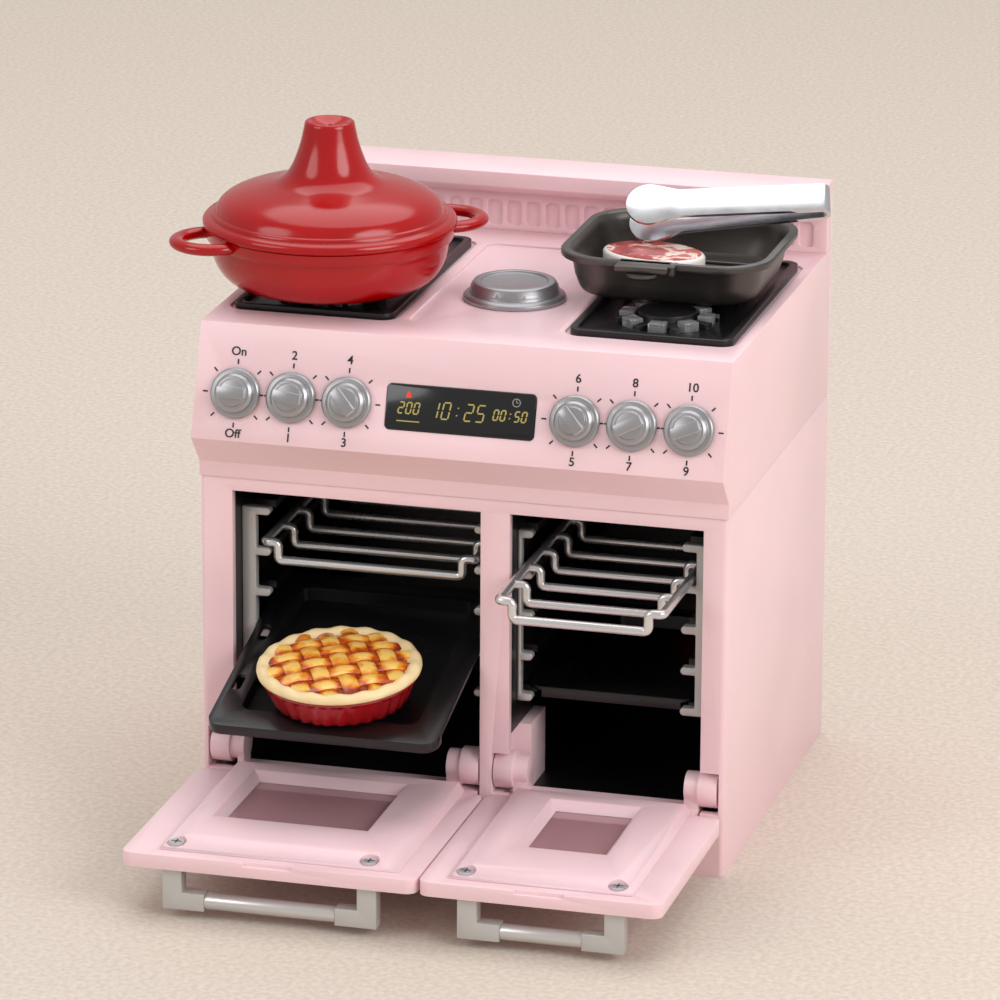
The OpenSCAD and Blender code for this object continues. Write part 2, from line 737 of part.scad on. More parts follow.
// Battery box on the inside of the back cover, for two cells side by side
module battery_box() {
    x = battery_w / 2;
    t = battery_rim;
    color(black) difference() {
        union() {
            difference() {
                box([-x, battery_front, battery_z], [x, back, battery_z + battery_h]);
                box([-x + t, battery_front + 0.8, battery_z + t],
                    [x - t, back + 1, battery_z + battery_h - t]);
            }
            box([cell_x + cell_l / 2 + 0.25, battery_front + 0.7, battery_z + 1],
                [cell_x + cell_l / 2 + 1.25, back, battery_z + battery_h - 1]);
            rod_y(boss_x, battery_front + 0.7, back, boss_z, boss_r);
        }
        rod_y(boss_x, back - 6, back + 1, boss_z, screw_r - 0.2);
    }
}
module battery_cells() {
    z = battery_z + battery_rim + 0.2 + cell_d / 2;
    color("#b08d3c") for (i = [0, 1])
        translate([cell_x, battery_front + 0.9 + cell_d / 2, z + i * (cell_d + 0.4)])
            rotate([0, 90, 0]) {
                cylinder(h = cell_l - 1, r = cell_d / 2, center = true);
                cylinder(h = cell_l, r = 2, center = true);
            }
}

// Battery door, flush in the back cover on the battery box's rim
module battery_cover() {
    edge = battery_door_edge + seat_gap;
    color(pink) difference() {
        box([-battery_w / 2 + edge, back + 0.02, battery_z + edge],
            [battery_w / 2 - edge, body_d / 2, battery_z + battery_h - edge]);
        rod_y(boss_x, back - 1, back + 5, boss_z, screw_r + 0.1);
    }
}

// Screw of the battery door, beside the cells
module battery_cover_screw() {
    color("#8d8f94") translate([boss_x, body_d / 2 + 0.02, boss_z]) rotate([-90, 0, 0]) {
        cylinder(h = 0.5, r = screw_head_r);
        translate([0, 0, -5]) cylinder(h = 5 + eps, r = screw_r - 0.22);
    }
}

module back_cover_screws() {
    color("#8d8f94") for (side = [-1, 1], z = concat(post_heights, hob_post_heights))
        translate([side * post_x, body_d / 2 + 0.02, z]) rotate([-90, 0, 0]) {
            cylinder(h = 0.6, r = screw_head_r - 0.2);
            translate([0, 0, -6]) cylinder(h = 6 + eps, r = screw_r - 0.25);
        }
}

module base_plate_screws() {
    color("#8d8f94") for (x = [-1, 1], y = base_screw_y)
        translate([x * base_screw_x, y, 0.3]) {
            cylinder(h = 0.58, r = small_head_r);
            cylinder(h = 4, r = screw_r - 0.22);
        }
}

// Slider of the power switch, with a grip that stands out of the back cover
module power_switch() {
    x = switch_x;
    z = switch_z;
    color(black) {
        box([x - 1.5, back - 0.3, z - 1.6], [x + 1.5, body_d / 2 + 1, z + 1.6]);
        box([x - switch_plate, back - 0.2 - switch_t, z - switch_plate],
            [x + switch_plate, back - 0.2, z + switch_plate]);
    }
}

// Case of the power switch, closed by the back cover
module switch_housing() {
    x0 = switch_x - switch_plate - 0.3;
    x1 = switch_x + switch_plate + switch_travel + 0.3;
    h = switch_plate + 0.3;
    y = back - 0.2 - switch_t - 0.2;
    w = switch_wall;
    color(black) difference() {
        box([x0 - w, y - 3, switch_z - h - w], [x1 + w, back, switch_z + h + w]);
        box([x0, y, switch_z - h], [x1, back + 1, switch_z + h]);
    }
}

// Steel hinge pins
module hinge_pin(x0, x1) {
    color("#9c9da1") rod_x(x0, x1, front + axis_y, axis_z, pin_r);
}
pin_reach = knuckle_w - pin_skin - 0.15;
module left_hinge_pin() { hinge_pin(-half_w + pin_skin + 0.05, left_door[3][0] + pin_reach); }
module centre_hinge_pin() {
    hinge_pin(left_door[3][1] - ear_t - pin_reach, right_door[3][0] + pin_reach);
}
module right_hinge_pin() {
    hinge_pin(right_door[3][1] - ear_t - pin_reach, half_w - pin_skin - 0.05);
}

// Outer panel of a door, with its tail between the posts and the hinge ears
module door_panel(door, mouth) {
    x0 = door[0][0];
    x1 = door[0][1];
    w = x1 - x0;
    mid = (x0 + x1) / 2;
    y0 = front - door_l;
    y1 = front - shoulder_y;
    tail = [mouth[0] + ear_gap, mouth[1] - ear_gap];
    ears = door[3];
    e = pane_edge;
    l = window_lip;
    difference() {
        union() {
            plate(mid, (y0 + y1) / 2, panel_z, w, y1 - y0, panel_t, 2.4);
            difference() {
                box([tail[0], y1 - 3, panel_z], [tail[1], front + tail_y, panel_top]);
                for (x = [ears[0] - ear_t, ears[1] - ear_t])
                    box([x - ear_gap, front + axis_y - ear_r - ear_gap, panel_top - 0.3],
                        [x + ear_t + ear_gap, front + tail_y + 1, panel_top + 1]);
            }
            for (x = [ears[0] - ear_t, ears[1] - ear_t])
                rod_x(x, x + ear_t, front + axis_y, axis_z, ear_r);
            for (x = [ears[0], ears[1] - ear_t - knuckle_w]) {
                rod_x(x - eps, x + knuckle_w + eps, front + axis_y, axis_z, ear_r - 0.8);
                box([max(x, tail[0]), front + axis_y - 3, panel_z + 1],
                    [min(x + knuckle_w, tail[1]), front + axis_y + 2, axis_z]);
            }
        }
        box([door[2][0] + l, front - window_y[0] + l, panel_z - 1],
            [door[2][1] - l, front - window_y[1] - l, panel_top + 1]);
        box([door[2][0] + e, front - window_y[0] + e, panel_top - pane_t - 0.05],
            [door[2][1] - e, front - window_y[1] - e, panel_top + 1]);
        for (x = [ears[0] - ear_t - 1, ears[1] - ear_t - knuckle_w + pin_skin])
            rod_x(x, x + ear_t + knuckle_w + 1 - pin_skin, front + axis_y, axis_z,
                pin_r + pin_gap);
        for (x = door[5])
            translate([x, frame_screw_y, panel_z + 1]) cylinder(h = 5, r = screw_r - 0.2);
        box([mid - 5.5, y0 - 1, panel_top - 0.8], [mid + 5.5, y0 + 1, panel_top + 1]);
    }
}
frame_screw_y = front - frame_front_y + 2.9;
module left_door_panel() { color(pink) door_panel(left_door, left_mouth); }
module right_door_panel() { color(pink) door_panel(right_door, right_mouth); }

// Inner frame of a door: a bevelled plate round the window
module door_frame(door) {
    x0 = door[1][0];
    x1 = door[1][1];
    y0 = front - frame_front_y;
    y1 = front - frame_back_y;
    b = frame_bevel;
    z = panel_top + 0.02;
    l = window_lip;
    difference() {
        hull() {
            box([x0, y0, z], [x1, y1, z + 0.4]);
            translate([0, 0, frame_z - 0.1]) linear_extrude(0.1)
                polygon([[x0 + frame_side, y0 + b], [x1 - frame_side, y0 + b],
                    [x1 - frame_taper, y1], [x0 + frame_taper, y1]]);
        }
        hull() {
            box([door[2][0], front - window_y[0], frame_z],
                [door[2][1], front - window_y[1], frame_z + 1]);
            box([door[2][0] + l, front - window_y[0] + l, z - 1],
                [door[2][1] - l, front - window_y[1] - l, z + 0.1]);
        }
        for (x = door[5]) {
            translate([x, frame_screw_y, z - 1]) cylinder(h = 5, r = screw_r + 0.1);
            translate([x, frame_screw_y, z + screw_seat])
                cylinder(h = 5, r = screw_head_r + 0.5);
        }
    }
}
module left_door_frame() { color(pink) door_frame(left_door); }
module right_door_frame() { color(pink) door_frame(right_door); }

// Clear window, held between the panel and the frame
module door_window(door) {
    e = pane_edge + 0.1;
    z = panel_top - 0.03;
    color(clear) box([door[2][0] + e, front - window_y[0] + e, z - pane_t],
        [door[2][1] - e, front - window_y[1] - e, z]);
}
module left_door_window() { door_window(left_door); }
module right_door_window() { door_window(right_door); }

function handle_x(door, side) = (door[0][0] + door[0][1]) / 2 + side * door[4] / 2;

// Two end brackets of a handle
module handle_brackets(door) {
    z0 = panel_z - handle_out;
    color(silver) for (side = [-1, 1]) {
        x = handle_x(door, side);
        translate([x, handle_y, 0]) mirror([side > 0 ? 1 : 0, 0, 0]) difference() {
            union() {
                box([0, 0, z0], [bracket_leg, handle_d, panel_z]);
                box([0, 0, z0], [bracket_w, handle_d, z0 + bracket_arm]);
            }
            rod_x(bracket_w - spigot_l - 0.2, bracket_w + 1, handle_d / 2, z0 + bracket_arm / 2,
                bar_r - 0.6);
        }
    }
}
module left_handle_brackets() { handle_brackets(left_door); }
module right_handle_brackets() { handle_brackets(right_door); }

// Round bar between a handle's brackets
module handle_bar(door) {
    x0 = handle_x(door, -1) + bracket_w;
    x1 = handle_x(door, 1) - bracket_w;
    z = panel_z - handle_out + bracket_arm / 2;
    color(silver) {
        rod_x(x0, x1, handle_y + handle_d / 2, z, bar_r);
        rod_x(x0 - spigot_l, x1 + spigot_l, handle_y + handle_d / 2, z, bar_r - 0.62);
    }
}
module left_handle_bar() { handle_bar(left_door); }
module right_handle_bar() { handle_bar(right_door); }

module door_screws(door) {
    color("#8d8f94") for (x = door[5])
        translate([x, frame_screw_y, panel_top + screw_seat + 0.04]) {
            cylinder(h = 0.7, r = screw_head_r);
            translate([0, 0, -2.4]) cylinder(h = 2.4 + eps, r = screw_r - 0.22);
        }
}
module left_door_screws() { door_screws(left_door); }
module right_door_screws() { door_screws(right_door); }

// A rack: side wires that carry dropped bars on flat cranks
module rack(x0, x1, y) {
    z1 = rack_z - rack_drop;
    crank = rack_crank;
    half = rack_bar_r;
    color(silver) {
        for (x = [x0, x1])
            rod_y(x, y - half, y + (rack_bars - 1) * rack_pitch + half, rack_z, wire_r);
        for (i = [0:rack_bars - 1]) {
            yb = y + i * rack_pitch;
            for (side = [0, 1]) {
                xa = side == 0 ? x0 : x1 - rack_inset;
                xl = side == 0 ? x0 + rack_inset : x1 - rack_inset;
                box([xa, yb - half, rack_z - half],
                    [xa + rack_inset, yb + half, rack_z + half]);
                box([xl - crank / 2, yb - half, z1 - half], [xl + crank / 2, yb + half, rack_z + half]);
            }
            rod_x(x0 + rack_inset, x1 - rack_inset, yb, z1, rack_bar_r);
        }
    }
}
left_rack_x = [left_x0 + 4.9, left_x1 - 3.2];
right_rack_x = [right_x0 + 2.3, right_x1 - 4.6];
module left_rack() { rack(left_rack_x[0], left_rack_x[1], front + rack_in_y); }
module right_rack() { rack(right_rack_x[0], right_rack_x[1], front - rack_out); }

// A tray: flange at z = 0 to tray_t, its well below, front edge at y = 0
module tray(w, slots) {
    well_w = w - 2 * tray_flange;
    well_d = tray_d - 11;
    well_y = tray_d / 2 + 0.5;
    // The skirt of a tray that lies on the pegs stops short of them
    skirt_x = slots ? 0 : 3.4;
    color(black) difference() {
        union() {
            plate(w / 2, tray_d / 2, 0, w, tray_d, tray_t, 3.5);
            plate(w / 2, well_y, -tray_well, well_w, well_d, tray_well + eps, 3);
            translate([0, 0, -tray_skirt]) linear_extrude(tray_skirt + eps) intersection() {
                difference() {
                    translate([w / 2, tray_d / 2]) round_rect(w, tray_d, 3.5);
                    translate([w / 2, tray_d / 2]) round_rect(w - 2, tray_d - 2, 2.5);
                }
                translate([skirt_x, 0]) square([w - 2 * skirt_x, 5]);
            }
        }
        plate(w / 2, well_y, -tray_well + tray_t, well_w - 2 * tray_t, well_d - 2 * tray_t,
            10, 2.4);
        if (slots) for (y = [17, 37])
            plate(tray_flange / 2 + 0.2, y, -1, 2, 6, 5, 0.9);
    }
}
// Puts its children on the left tray, which hangs tilted on its front pegs
module on_left_tray() {
    translate([left_tray_x[0], front + rail_y, tray_z]) rotate([tray_tilt, 0, 0])
        translate([0, -tray_over, 0]) children();
}
left_tray_w = left_tray_x[1] - left_tray_x[0];
module left_tray() { on_left_tray() tray(left_tray_w, true); }
module right_tray() {
    translate([right_tray_x[0], front + rail_y + 3, peg_top + seat_gap])
        tray(right_tray_x[1] - right_tray_x[0], false);
}

// Pie dish and crust
module on_pie() {
    lift = pie_foot * sin(pie_tilt) + tray_t + 0.1 - tray_well;
    on_left_tray() translate([left_tray_w / 2, pie_y, lift]) rotate([-pie_tilt, 0, 0]) children();
}
module pie_dish() {
    color("#a3161c") on_pie() rotate_extrude($fn = 72)
        polygon([[0, 0], [pie_foot, 0], [pie_r - 0.6, dish_h], [pie_r - 1.7, dish_h],
            [pie_foot - 1, 1.2], [0, 1.2]]);
}
module pie_crust() {
    z = dish_h;
    color("#e9a23b") on_pie() {
        rotate_extrude($fn = 72) polygon([[0, 1.25], [pie_foot - 1.1, 1.25],
            [pie_r - 1.8, z + 0.04], [pie_r - 0.3, z + 0.04], [pie_r, z + 0.8],
            [pie_r - 0.3, z + crust_h - 1.1], [pie_r - 1.4, z + crust_h - 0.5],
            [pie_r - 2.6, z + crust_h - 0.8], [pie_r - 5, z + crust_h - 0.2],
            [0, z + crust_h]]);
    }
}

// Pot: a bowl with a rim and two flat loop handles
module pot_base() {
    h = pot_h;
    r = pot_r;
    t = pot_t;
    color("#c3121a") translate([pot_place[0], pot_place[1], cook_z]) {
        difference() {
            union() {
                rotate_extrude($fn = 96) polygon([[0, 0], [r - 8.6, 0], [r - 5.6, 1],
                    [r - 3.3, 3], [r - 1.8, 5.8], [r - 1.2, 8.6], [r - 1.1, h - 3.2],
                    [r, h - 2.7], [r, h], [0, h]]);
                for (side = [0, 180]) rotate([0, 0, pot_turn + side])
                    translate([r + 0.2, 0, h - 2.7]) cylinder(h = 2.6, r = 9.5);
            }
            rotate_extrude($fn = 96) polygon([[0, t], [r - 9.2, t], [r - 6.6, 2.2],
                [r - 4.6, 4], [r - 3.2, 6.4], [r - 2.6, 8.8], [r - 2.3, h - 3.2],
                [r - t, h - 1.8], [r - t, h + 1], [0, h + 1]]);
            for (side = [0, 180]) rotate([0, 0, pot_turn + side])
                translate([r + 0.2, 0, h - 4]) difference() {
                    cylinder(h = 5, r = 6);
                    translate([-12, -8, -1]) cube([12, 16, 8]);
                }
        }
    }
}

// Lid: dome with a chimney and a small vent
module pot_lid() {
    h = lid_h;
    r = pot_r + 0.7;
    t = pot_t;
    step = [[r, 0], [r, 1.4], [r - 0.7, 2], [r - 1.8, 2], [r - 2, 2.9], [r - 2.8, 3.2]];
    dome = [[r - 3.1, 4], [r - 4, 5.3], [r - 6, 6.7], [r - 9.3, 8.1], [r - 13.3, 9.1], [12, 9.8],
        [9.9, 11.2], [8.5, 13.2], [7.4, 15.8], [6.5, h - 4.9], [5.9, h - 2.3]];
    mouth = [[5.6, h - 0.8], [5.2, h], [4.4, h], [3.2, h - 0.9], [1.2, h - 1.2],
        [1.2, h - 2.3 - t]];
    spigot = [[r - 3.6, 1.4], [r - 3.6, -1.2], [r - 2.6, -1.2], [r - 2.6, 0]];
    inside = [for (i = [len(dome) - 1:-1:0]) dome[i] - [t, t]];
    color("#c3121a") translate([pot_place[0], pot_place[1], cook_z + pot_h + 0.1])
        rotate_extrude($fn = 96) polygon(concat(step, dome, mouth, inside, spigot));
}

// A rounded slab for the grill pan, faceted at its corners
module slab(w, d, h, r, z) {
    translate([0, 0, z]) linear_extrude(h) round_rect(w, d, r);
}

// Grill pan: flared walls, flat rim, pouring lip and ridges
module grill_pan() {
    w = pan_w - 2 * pan_rim;
    d = pan_d - 2 * pan_rim;
    t = pan_wall;
    color("#55555a") translate([pan_place[0], pan_place[1], cook_z]) {
        difference() {
            union() {
                hull() {
                    slab(w - 4, d - 4, 0.1, 7, 0, $fn = 32);
                    slab(w + 1, d + 1, 0.1, 9, pan_h - 1.6, $fn = 32);
                }
                slab(pan_w, pan_d, 1.6, 10, pan_h - 1.6);
                translate([pan_lug_x, -pan_d / 2, pan_h - 1.6]) cylinder(h = 1.6, r = 5.4);
            }
            hull() {
                slab(w - 4 - 2 * t, d - 4 - 2 * t, 0.1, 6, t, $fn = 32);
                slab(w, d, 0.2, 8.4, pan_h - 0.1, $fn = 32);
            }
            translate([pan_lug_x, -pan_d / 2 + 0.9, pan_h - 1]) cylinder(h = 3, r = 3.4);
        }
        for (i = [-3:3])
            translate([-w / 2 + 6, i * 3.7 - 0.7, t - eps]) cube([w - 12, 1.4, ridge_h]);
    }
}

// Steak: a thick slice with a rounded outline
module steak() {
    z = cook_z + pan_wall + ridge_h + 0.1;
    r = steak_d / 2;
    color("#c9534f") translate([steak_place[0], steak_place[1], z]) rotate([0, 0, -12]) hull() {
        translate([-steak_w / 2 + r, 0, 0]) cylinder(h = steak_h, r = r, $fn = 32);
        translate([steak_w / 2 - r + 1.5, -1, 0]) cylinder(h = steak_h, r = r - 1.5, $fn = 32);
    }
}

// Tongs: one springy strip bent in a U, with two rounded heads
module tongs() {
    gap = 1.1;
    t = 0.9;
    spread = 3;
    arm = tongs_l - 12;
    color(silver) translate(tongs_place) rotate([0, 5.6, 190.8]) rotate([48, 0, 0])
        translate([2, 0, -tongs_w / 2]) {
            linear_extrude(tongs_w) {
                difference() {
                    circle(gap + t);
                    circle(gap);
                    translate([0, -5]) square([5, 10]);
                }
                for (side = [-1, 1]) scale([1, side]) rotate([0, 0, spread])
                    translate([-0.1, gap]) square([arm, t]);
            }
            for (side = [-1, 1]) translate([0, 0, tongs_w / 2])
                scale([1, side, 1]) rotate([0, 0, spread])
                    translate([arm + 3.8, gap + t, 0]) rotate([90, 0, 0]) hull() {
                        translate([-5, 0, 0]) cylinder(h = t, r = tongs_w / 2 - 0.1);
                        translate([1.6, 0, 0]) cylinder(h = t, r = tongs_w / 2 + 1.7);
                    }
        }
}

cabinet_shell();
hob_top();
backsplash();
back_cover();
base_plate();
left_oven_liner();
right_oven_liner();
left_oven_outer_rail();
left_oven_inner_rail();
right_oven_inner_rail();
right_oven_outer_rail();
left_burner_plate();
right_burner_plate();
left_burner_lens();
right_burner_lens();
centre_hotplate();
display_window();
circuit_board();
speaker();
oven_lamps();
battery_box();
battery_cells();
battery_cover();
battery_cover_screw();
back_cover_screws();
base_plate_screws();
power_switch();
switch_housing();
left_hinge_pin();
centre_hinge_pin();
right_hinge_pin();
left_door_panel();
left_door_frame();
left_door_window();
left_handle_brackets();
left_handle_bar();
left_door_screws();
right_door_panel();
right_door_frame();
right_door_window();
right_handle_brackets();
right_handle_bar();
right_door_screws();
dial_1();
dial_2();
dial_3();
dial_4();
dial_5();
dial_6();
left_rack();
left_tray();
pie_dish();
pie_crust();
right_rack();
right_tray();
pot_base();
pot_lid();
grill_pan();
steak();
tongs();
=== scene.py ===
import json
from math import atan2, cos, pi, radians, sin, sqrt

import bpy
from mathutils import Matrix, Vector


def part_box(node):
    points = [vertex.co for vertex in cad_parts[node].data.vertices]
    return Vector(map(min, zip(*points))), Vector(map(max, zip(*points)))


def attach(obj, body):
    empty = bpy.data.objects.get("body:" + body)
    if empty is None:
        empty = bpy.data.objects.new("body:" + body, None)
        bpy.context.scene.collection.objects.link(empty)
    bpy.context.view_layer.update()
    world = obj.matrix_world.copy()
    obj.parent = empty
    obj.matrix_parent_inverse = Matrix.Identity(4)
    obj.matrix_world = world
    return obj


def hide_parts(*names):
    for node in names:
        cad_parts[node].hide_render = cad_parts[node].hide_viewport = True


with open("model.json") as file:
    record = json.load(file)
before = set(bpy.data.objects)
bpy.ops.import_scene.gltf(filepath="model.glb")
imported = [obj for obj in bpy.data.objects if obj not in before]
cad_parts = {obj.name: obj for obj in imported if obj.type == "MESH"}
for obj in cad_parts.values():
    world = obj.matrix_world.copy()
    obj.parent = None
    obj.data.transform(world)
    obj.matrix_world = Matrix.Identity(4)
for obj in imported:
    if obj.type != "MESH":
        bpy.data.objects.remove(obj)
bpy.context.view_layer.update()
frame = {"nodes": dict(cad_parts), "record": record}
bodyOf = {node: body for body, nodes in frame["record"]["behaviour"]["bodies"].items()
          for node in nodes}
mm = 0.001
print("frame loaded")


# small tools: sizes and places are given in mm, and the scene itself is in metres

def deselect():
    if bpy.context.object and bpy.context.object.mode != "OBJECT":
        bpy.ops.object.mode_set(mode="OBJECT")
    bpy.ops.object.select_all(action="DESELECT")


def pick(piece):
    deselect()
    piece.select_set(True)
    bpy.context.view_layer.objects.active = piece


def openMesh():
    # the active piece goes into edit mode with everything selected
    bpy.ops.object.mode_set(mode="EDIT")
    bpy.ops.mesh.select_all(action="SELECT")


def closeMesh():
    bpy.ops.object.mode_set(mode="OBJECT")


def settle(piece):
    # the place goes into the mesh, so that the object sits at the origin
    pick(piece)
    bpy.ops.object.transform_apply(location=True, rotation=True, scale=True)
    return piece


def smooth(piece, angle):
    pick(piece)
    bpy.ops.object.shade_smooth_by_angle(angle=radians(angle))
    return piece


def outward(piece):
    pick(piece)
    openMesh()
    bpy.ops.mesh.remove_doubles(threshold=0.001 * mm)
    bpy.ops.mesh.normals_make_consistent(inside=False)
    closeMesh()
    return piece


def joined(pieces):
    deselect()
    for piece in pieces:
        piece.select_set(True)
    bpy.context.view_layer.objects.active = pieces[0]
    bpy.ops.object.join()
    return pieces[0]


def copyOf(piece):
    twin = piece.copy()
    twin.data = piece.data.copy()
    bpy.context.scene.collection.objects.link(twin)
    return twin


def edged(piece, width, segments=2, angle=35, miter="MITER_SHARP"):
    # small rounded edges where faces meet at more than the angle
    bevel = piece.modifiers.new("edges", "BEVEL")
    bevel.width = width * mm
    bevel.segments = segments
    bevel.limit_method = "ANGLE"
    bevel.angle_limit = radians(angle)
    bevel.miter_outer = miter
    pick(piece)
    bpy.ops.object.modifier_apply(modifier=bevel.name)
    return smooth(piece, angle=40)


def painted(piece, material):
    piece.data.materials.clear()
    piece.data.materials.append(material)


def finished(piece, name, material, body, nodes=()):
    # names, paints and mounts a finished piece
    piece.name = name
    piece.data.name = name
    painted(piece, material)
    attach(piece, body)
    if nodes:
        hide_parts(*nodes)


def moulded(node, name, material, width, segments=2, angle=32):
    # a copy of a hard-edged node with the small rounded edges that moulding leaves
    piece = copyOf(frame["nodes"][node])
    piece.parent = None
    piece.matrix_world = Matrix.Identity(4)
    for key in list(piece.keys()):
        del piece[key]
    pick(piece)
    openMesh()
    bpy.ops.mesh.remove_doubles(threshold=0.002 * mm)
    bpy.ops.mesh.dissolve_limited(angle_limit=radians(0.6))
    closeMesh()
    edged(piece, width, segments, angle, "MITER_ARC")
    finished(piece, name, material, bodyOf[node], [node])


# the camera as fitted to the photograph: place in mm, angles in radians, focal length and
# frame in pixels, sensor in mm, and how far it sees in metres
view = {"place": (354.9, -1335.7, 499.1), "yaw": 0.26307, "pitch": -0.30318, "roll": 0.00552,
        "focal": 6393.3, "frame": 1000, "sensor": 36.0, "reach": 20}


def makeCamera():
    yaw, pitch, roll = view["yaw"], view["pitch"], view["roll"]
    ahead = Vector((-sin(yaw) * cos(pitch), cos(yaw) * cos(pitch), sin(pitch)))
    level = Vector((cos(yaw), sin(yaw), 0))
    upright = level.cross(ahead)
    right = level * cos(roll) + upright * sin(roll)
    up = upright * cos(roll) - level * sin(roll)
    data = bpy.data.cameras.new("camera")
    data.sensor_width = view["sensor"]
    data.lens = view["focal"] / view["frame"] * view["sensor"]
    data.clip_end = view["reach"]
    camera = bpy.data.objects.new("camera", data)
    bpy.context.scene.collection.objects.link(camera)
    turn = Matrix((right, up, -ahead)).transposed()
    camera.matrix_world = Matrix.Translation(Vector(view["place"]) * mm) @ turn.to_4x4()
    bpy.context.scene.camera = camera


# three large soft lamps (place and size in metres, power in watts) in a pale room
studio = {"key": ((1.1, -0.6, 0.72), 0.9, 9.5), "fill": ((-0.9, -0.9, 0.8), 0.8, 4.4),
          "top": ((0.0, 0.4, 1.3), 1.6, 11.0)}
room = {"colour": "#FDFBFA", "strength": 0.52, "aim": (0, 0.02, 0.05)}


def toLinear(code):
    # a colour code as the linear values that the renderer works with
    parts = [int(code[i:i + 2], 16) / 255 for i in (1, 3, 5)]
    return tuple(c / 12.92 if c <= 0.04045 else ((c + 0.055) / 1.055) ** 2.4
                 for c in parts) + (1.0,)


def makeLamp(name, place, size, power):
    data = bpy.data.lights.new(name, "AREA")
    data.shape = "DISK"
    data.size = size
    data.energy = power
    lamp = bpy.data.objects.new(name, data)
    bpy.context.scene.collection.objects.link(lamp)
    lamp.location = place
    aim = Vector(room["aim"]) - Vector(place)
    lamp.rotation_euler = aim.to_track_quat("-Z", "Y").to_euler()


def makeStudio():
    for name, (place, size, power) in studio.items():
        makeLamp(name, place, size, power)
    world = bpy.data.worlds.new("studio")
    bpy.context.scene.world = world
    world.use_nodes = True
    background = world.node_tree.nodes["Background"]
    background.inputs["Color"].default_value = toLinear(room["colour"])
    background.inputs["Strength"].default_value = room["strength"]


makeCamera()
makeStudio()
bpy.context.scene.view_settings.view_transform = "Standard"
print("camera and lights set")


# materials

def addNode(tree, kind, settings=None, links=None):
    # one node with its settings, and its inputs linked from other nodes' outputs
    node = tree.nodes.new(kind)
    for key, value in (settings or {}).items():
        if isinstance(key, str) and hasattr(node, key):
            setattr(node, key, value)
        else:
            node.inputs[key].default_value = value
    for key, source in (links or {}).items():
        tree.links.new(source, node.inputs[key])
    return node


def startMaterial(name):
    material = bpy.data.materials.new(name)
    material.use_nodes = True
    tree = material.node_tree
    tree.nodes.clear()
    output = addNode(tree, "ShaderNodeOutputMaterial")
    shader = addNode(tree, "ShaderNodeBsdfPrincipled")
    tree.links.new(shader.outputs[0], output.inputs[0])
    place = addNode(tree, "ShaderNodeTexCoord").outputs["Object"]
    return material, tree, shader, place


def noise(tree, place, scale, detail):
    # cloudy unevenness, its scale in patches to the metre
    return addNode(tree, "ShaderNodeTexNoise", {"Scale": scale, "Detail": detail},
                   {"Vector": place})


def relief(tree, shader, height, strength, depth):
    # a bumpy surface, its depth in mm
    bump = addNode(tree, "ShaderNodeBump", {"Strength": strength, "Distance": depth * mm},
                   {"Height": height})
    tree.links.new(bump.outputs[0], shader.inputs["Normal"])


def ramp(tree, source, stops, target=None):
    # the source's values turned into colours or greys, and led into the target input
    node = addNode(tree, "ShaderNodeValToRGB", links={0: source})
    elements = node.color_ramp.elements
    while len(elements) < len(stops):
        elements.new(0.5)
    for element, (position, colour) in zip(elements, stops):
        element.position = position
        element.color = colour
    if target:
        tree.links.new(node.outputs[0], target)
    return node.outputs[0]


def grey(value):
    return (value, value, value, 1)


def shaded(colour, factor):
    return tuple(min(1, c * factor) for c in colour[:3]) + (1,)


def plastic(name, colour, roughness, grain=0.25, bump=0.03, drift=0.02, coat=0.0, subsurface=0.0,
            metallic=0.0):
    # injection-moulded plastic: an even colour, a faint spark-eroded grain a quarter of a
    # millimetre across, and a gloss that drifts a little over the surface
    spread = 0.05
    material, tree, shader, place = startMaterial(name)
    broad = noise(tree, place, scale=45.0, detail=3.0)
    fine = noise(tree, place, scale=1 / (grain * mm), detail=2.0)
    base = toLinear(colour)
    ramp(tree, broad.outputs[0], [(0.35, shaded(base, 1 - drift)), (0.65, shaded(base, 1 + drift))],
         shader.inputs["Base Color"])
    ramp(tree, broad.outputs[0],
         [(0.3, grey(max(0, roughness - spread))), (0.7, grey(roughness + spread))],
         shader.inputs["Roughness"])
    relief(tree, shader, fine.outputs[0], strength=bump, depth=0.2)
    if metallic:
        shader.inputs["Metallic"].default_value = metallic
    else:
        shader.inputs["IOR"].default_value = 1.5
    shader.inputs["Coat Weight"].default_value = coat
    shader.inputs["Coat Roughness"].default_value = 0.08
    if subsurface:
        shader.inputs["Subsurface Weight"].default_value = subsurface
        shader.inputs["Subsurface Radius"].default_value = (1.0, 0.45, 0.4)
        shader.inputs["Subsurface Scale"].default_value = 1.2 * mm
    return material


def clearPlastic(name, tint, transmission):
    # polished polystyrene: clear, with a slight tint and faint waves from moulding
    material, tree, shader, place = startMaterial(name)
    waves = noise(tree, place, scale=160.0, detail=1.0)
    relief(tree, shader, waves.outputs[0], strength=0.05, depth=0.2)
    shader.inputs["Base Color"].default_value = toLinear(tint)
    shader.inputs["Roughness"].default_value = 0.03
    shader.inputs["Transmission Weight"].default_value = transmission
    shader.inputs["IOR"].default_value = 1.55
    return material


def metallised(name, colour, roughness):
    # vacuum-metallised plastic: a bright mirror skin softened by the moulding under it
    material, tree, shader, place = startMaterial(name)
    marks = noise(tree, place, scale=240.0, detail=4.0)
    base = toLinear(colour)
    ramp(tree, marks.outputs[0], [(0.35, shaded(base, 0.98)), (0.65, base)],
         shader.inputs["Base Color"])
    ramp(tree, marks.outputs[0], [(0.3, grey(roughness * 0.8)), (0.7, grey(roughness * 1.3))],
         shader.inputs["Roughness"])
    relief(tree, shader, marks.outputs[0], strength=0.05, depth=0.1)
    shader.inputs["Metallic"].default_value = 1.0
    return material


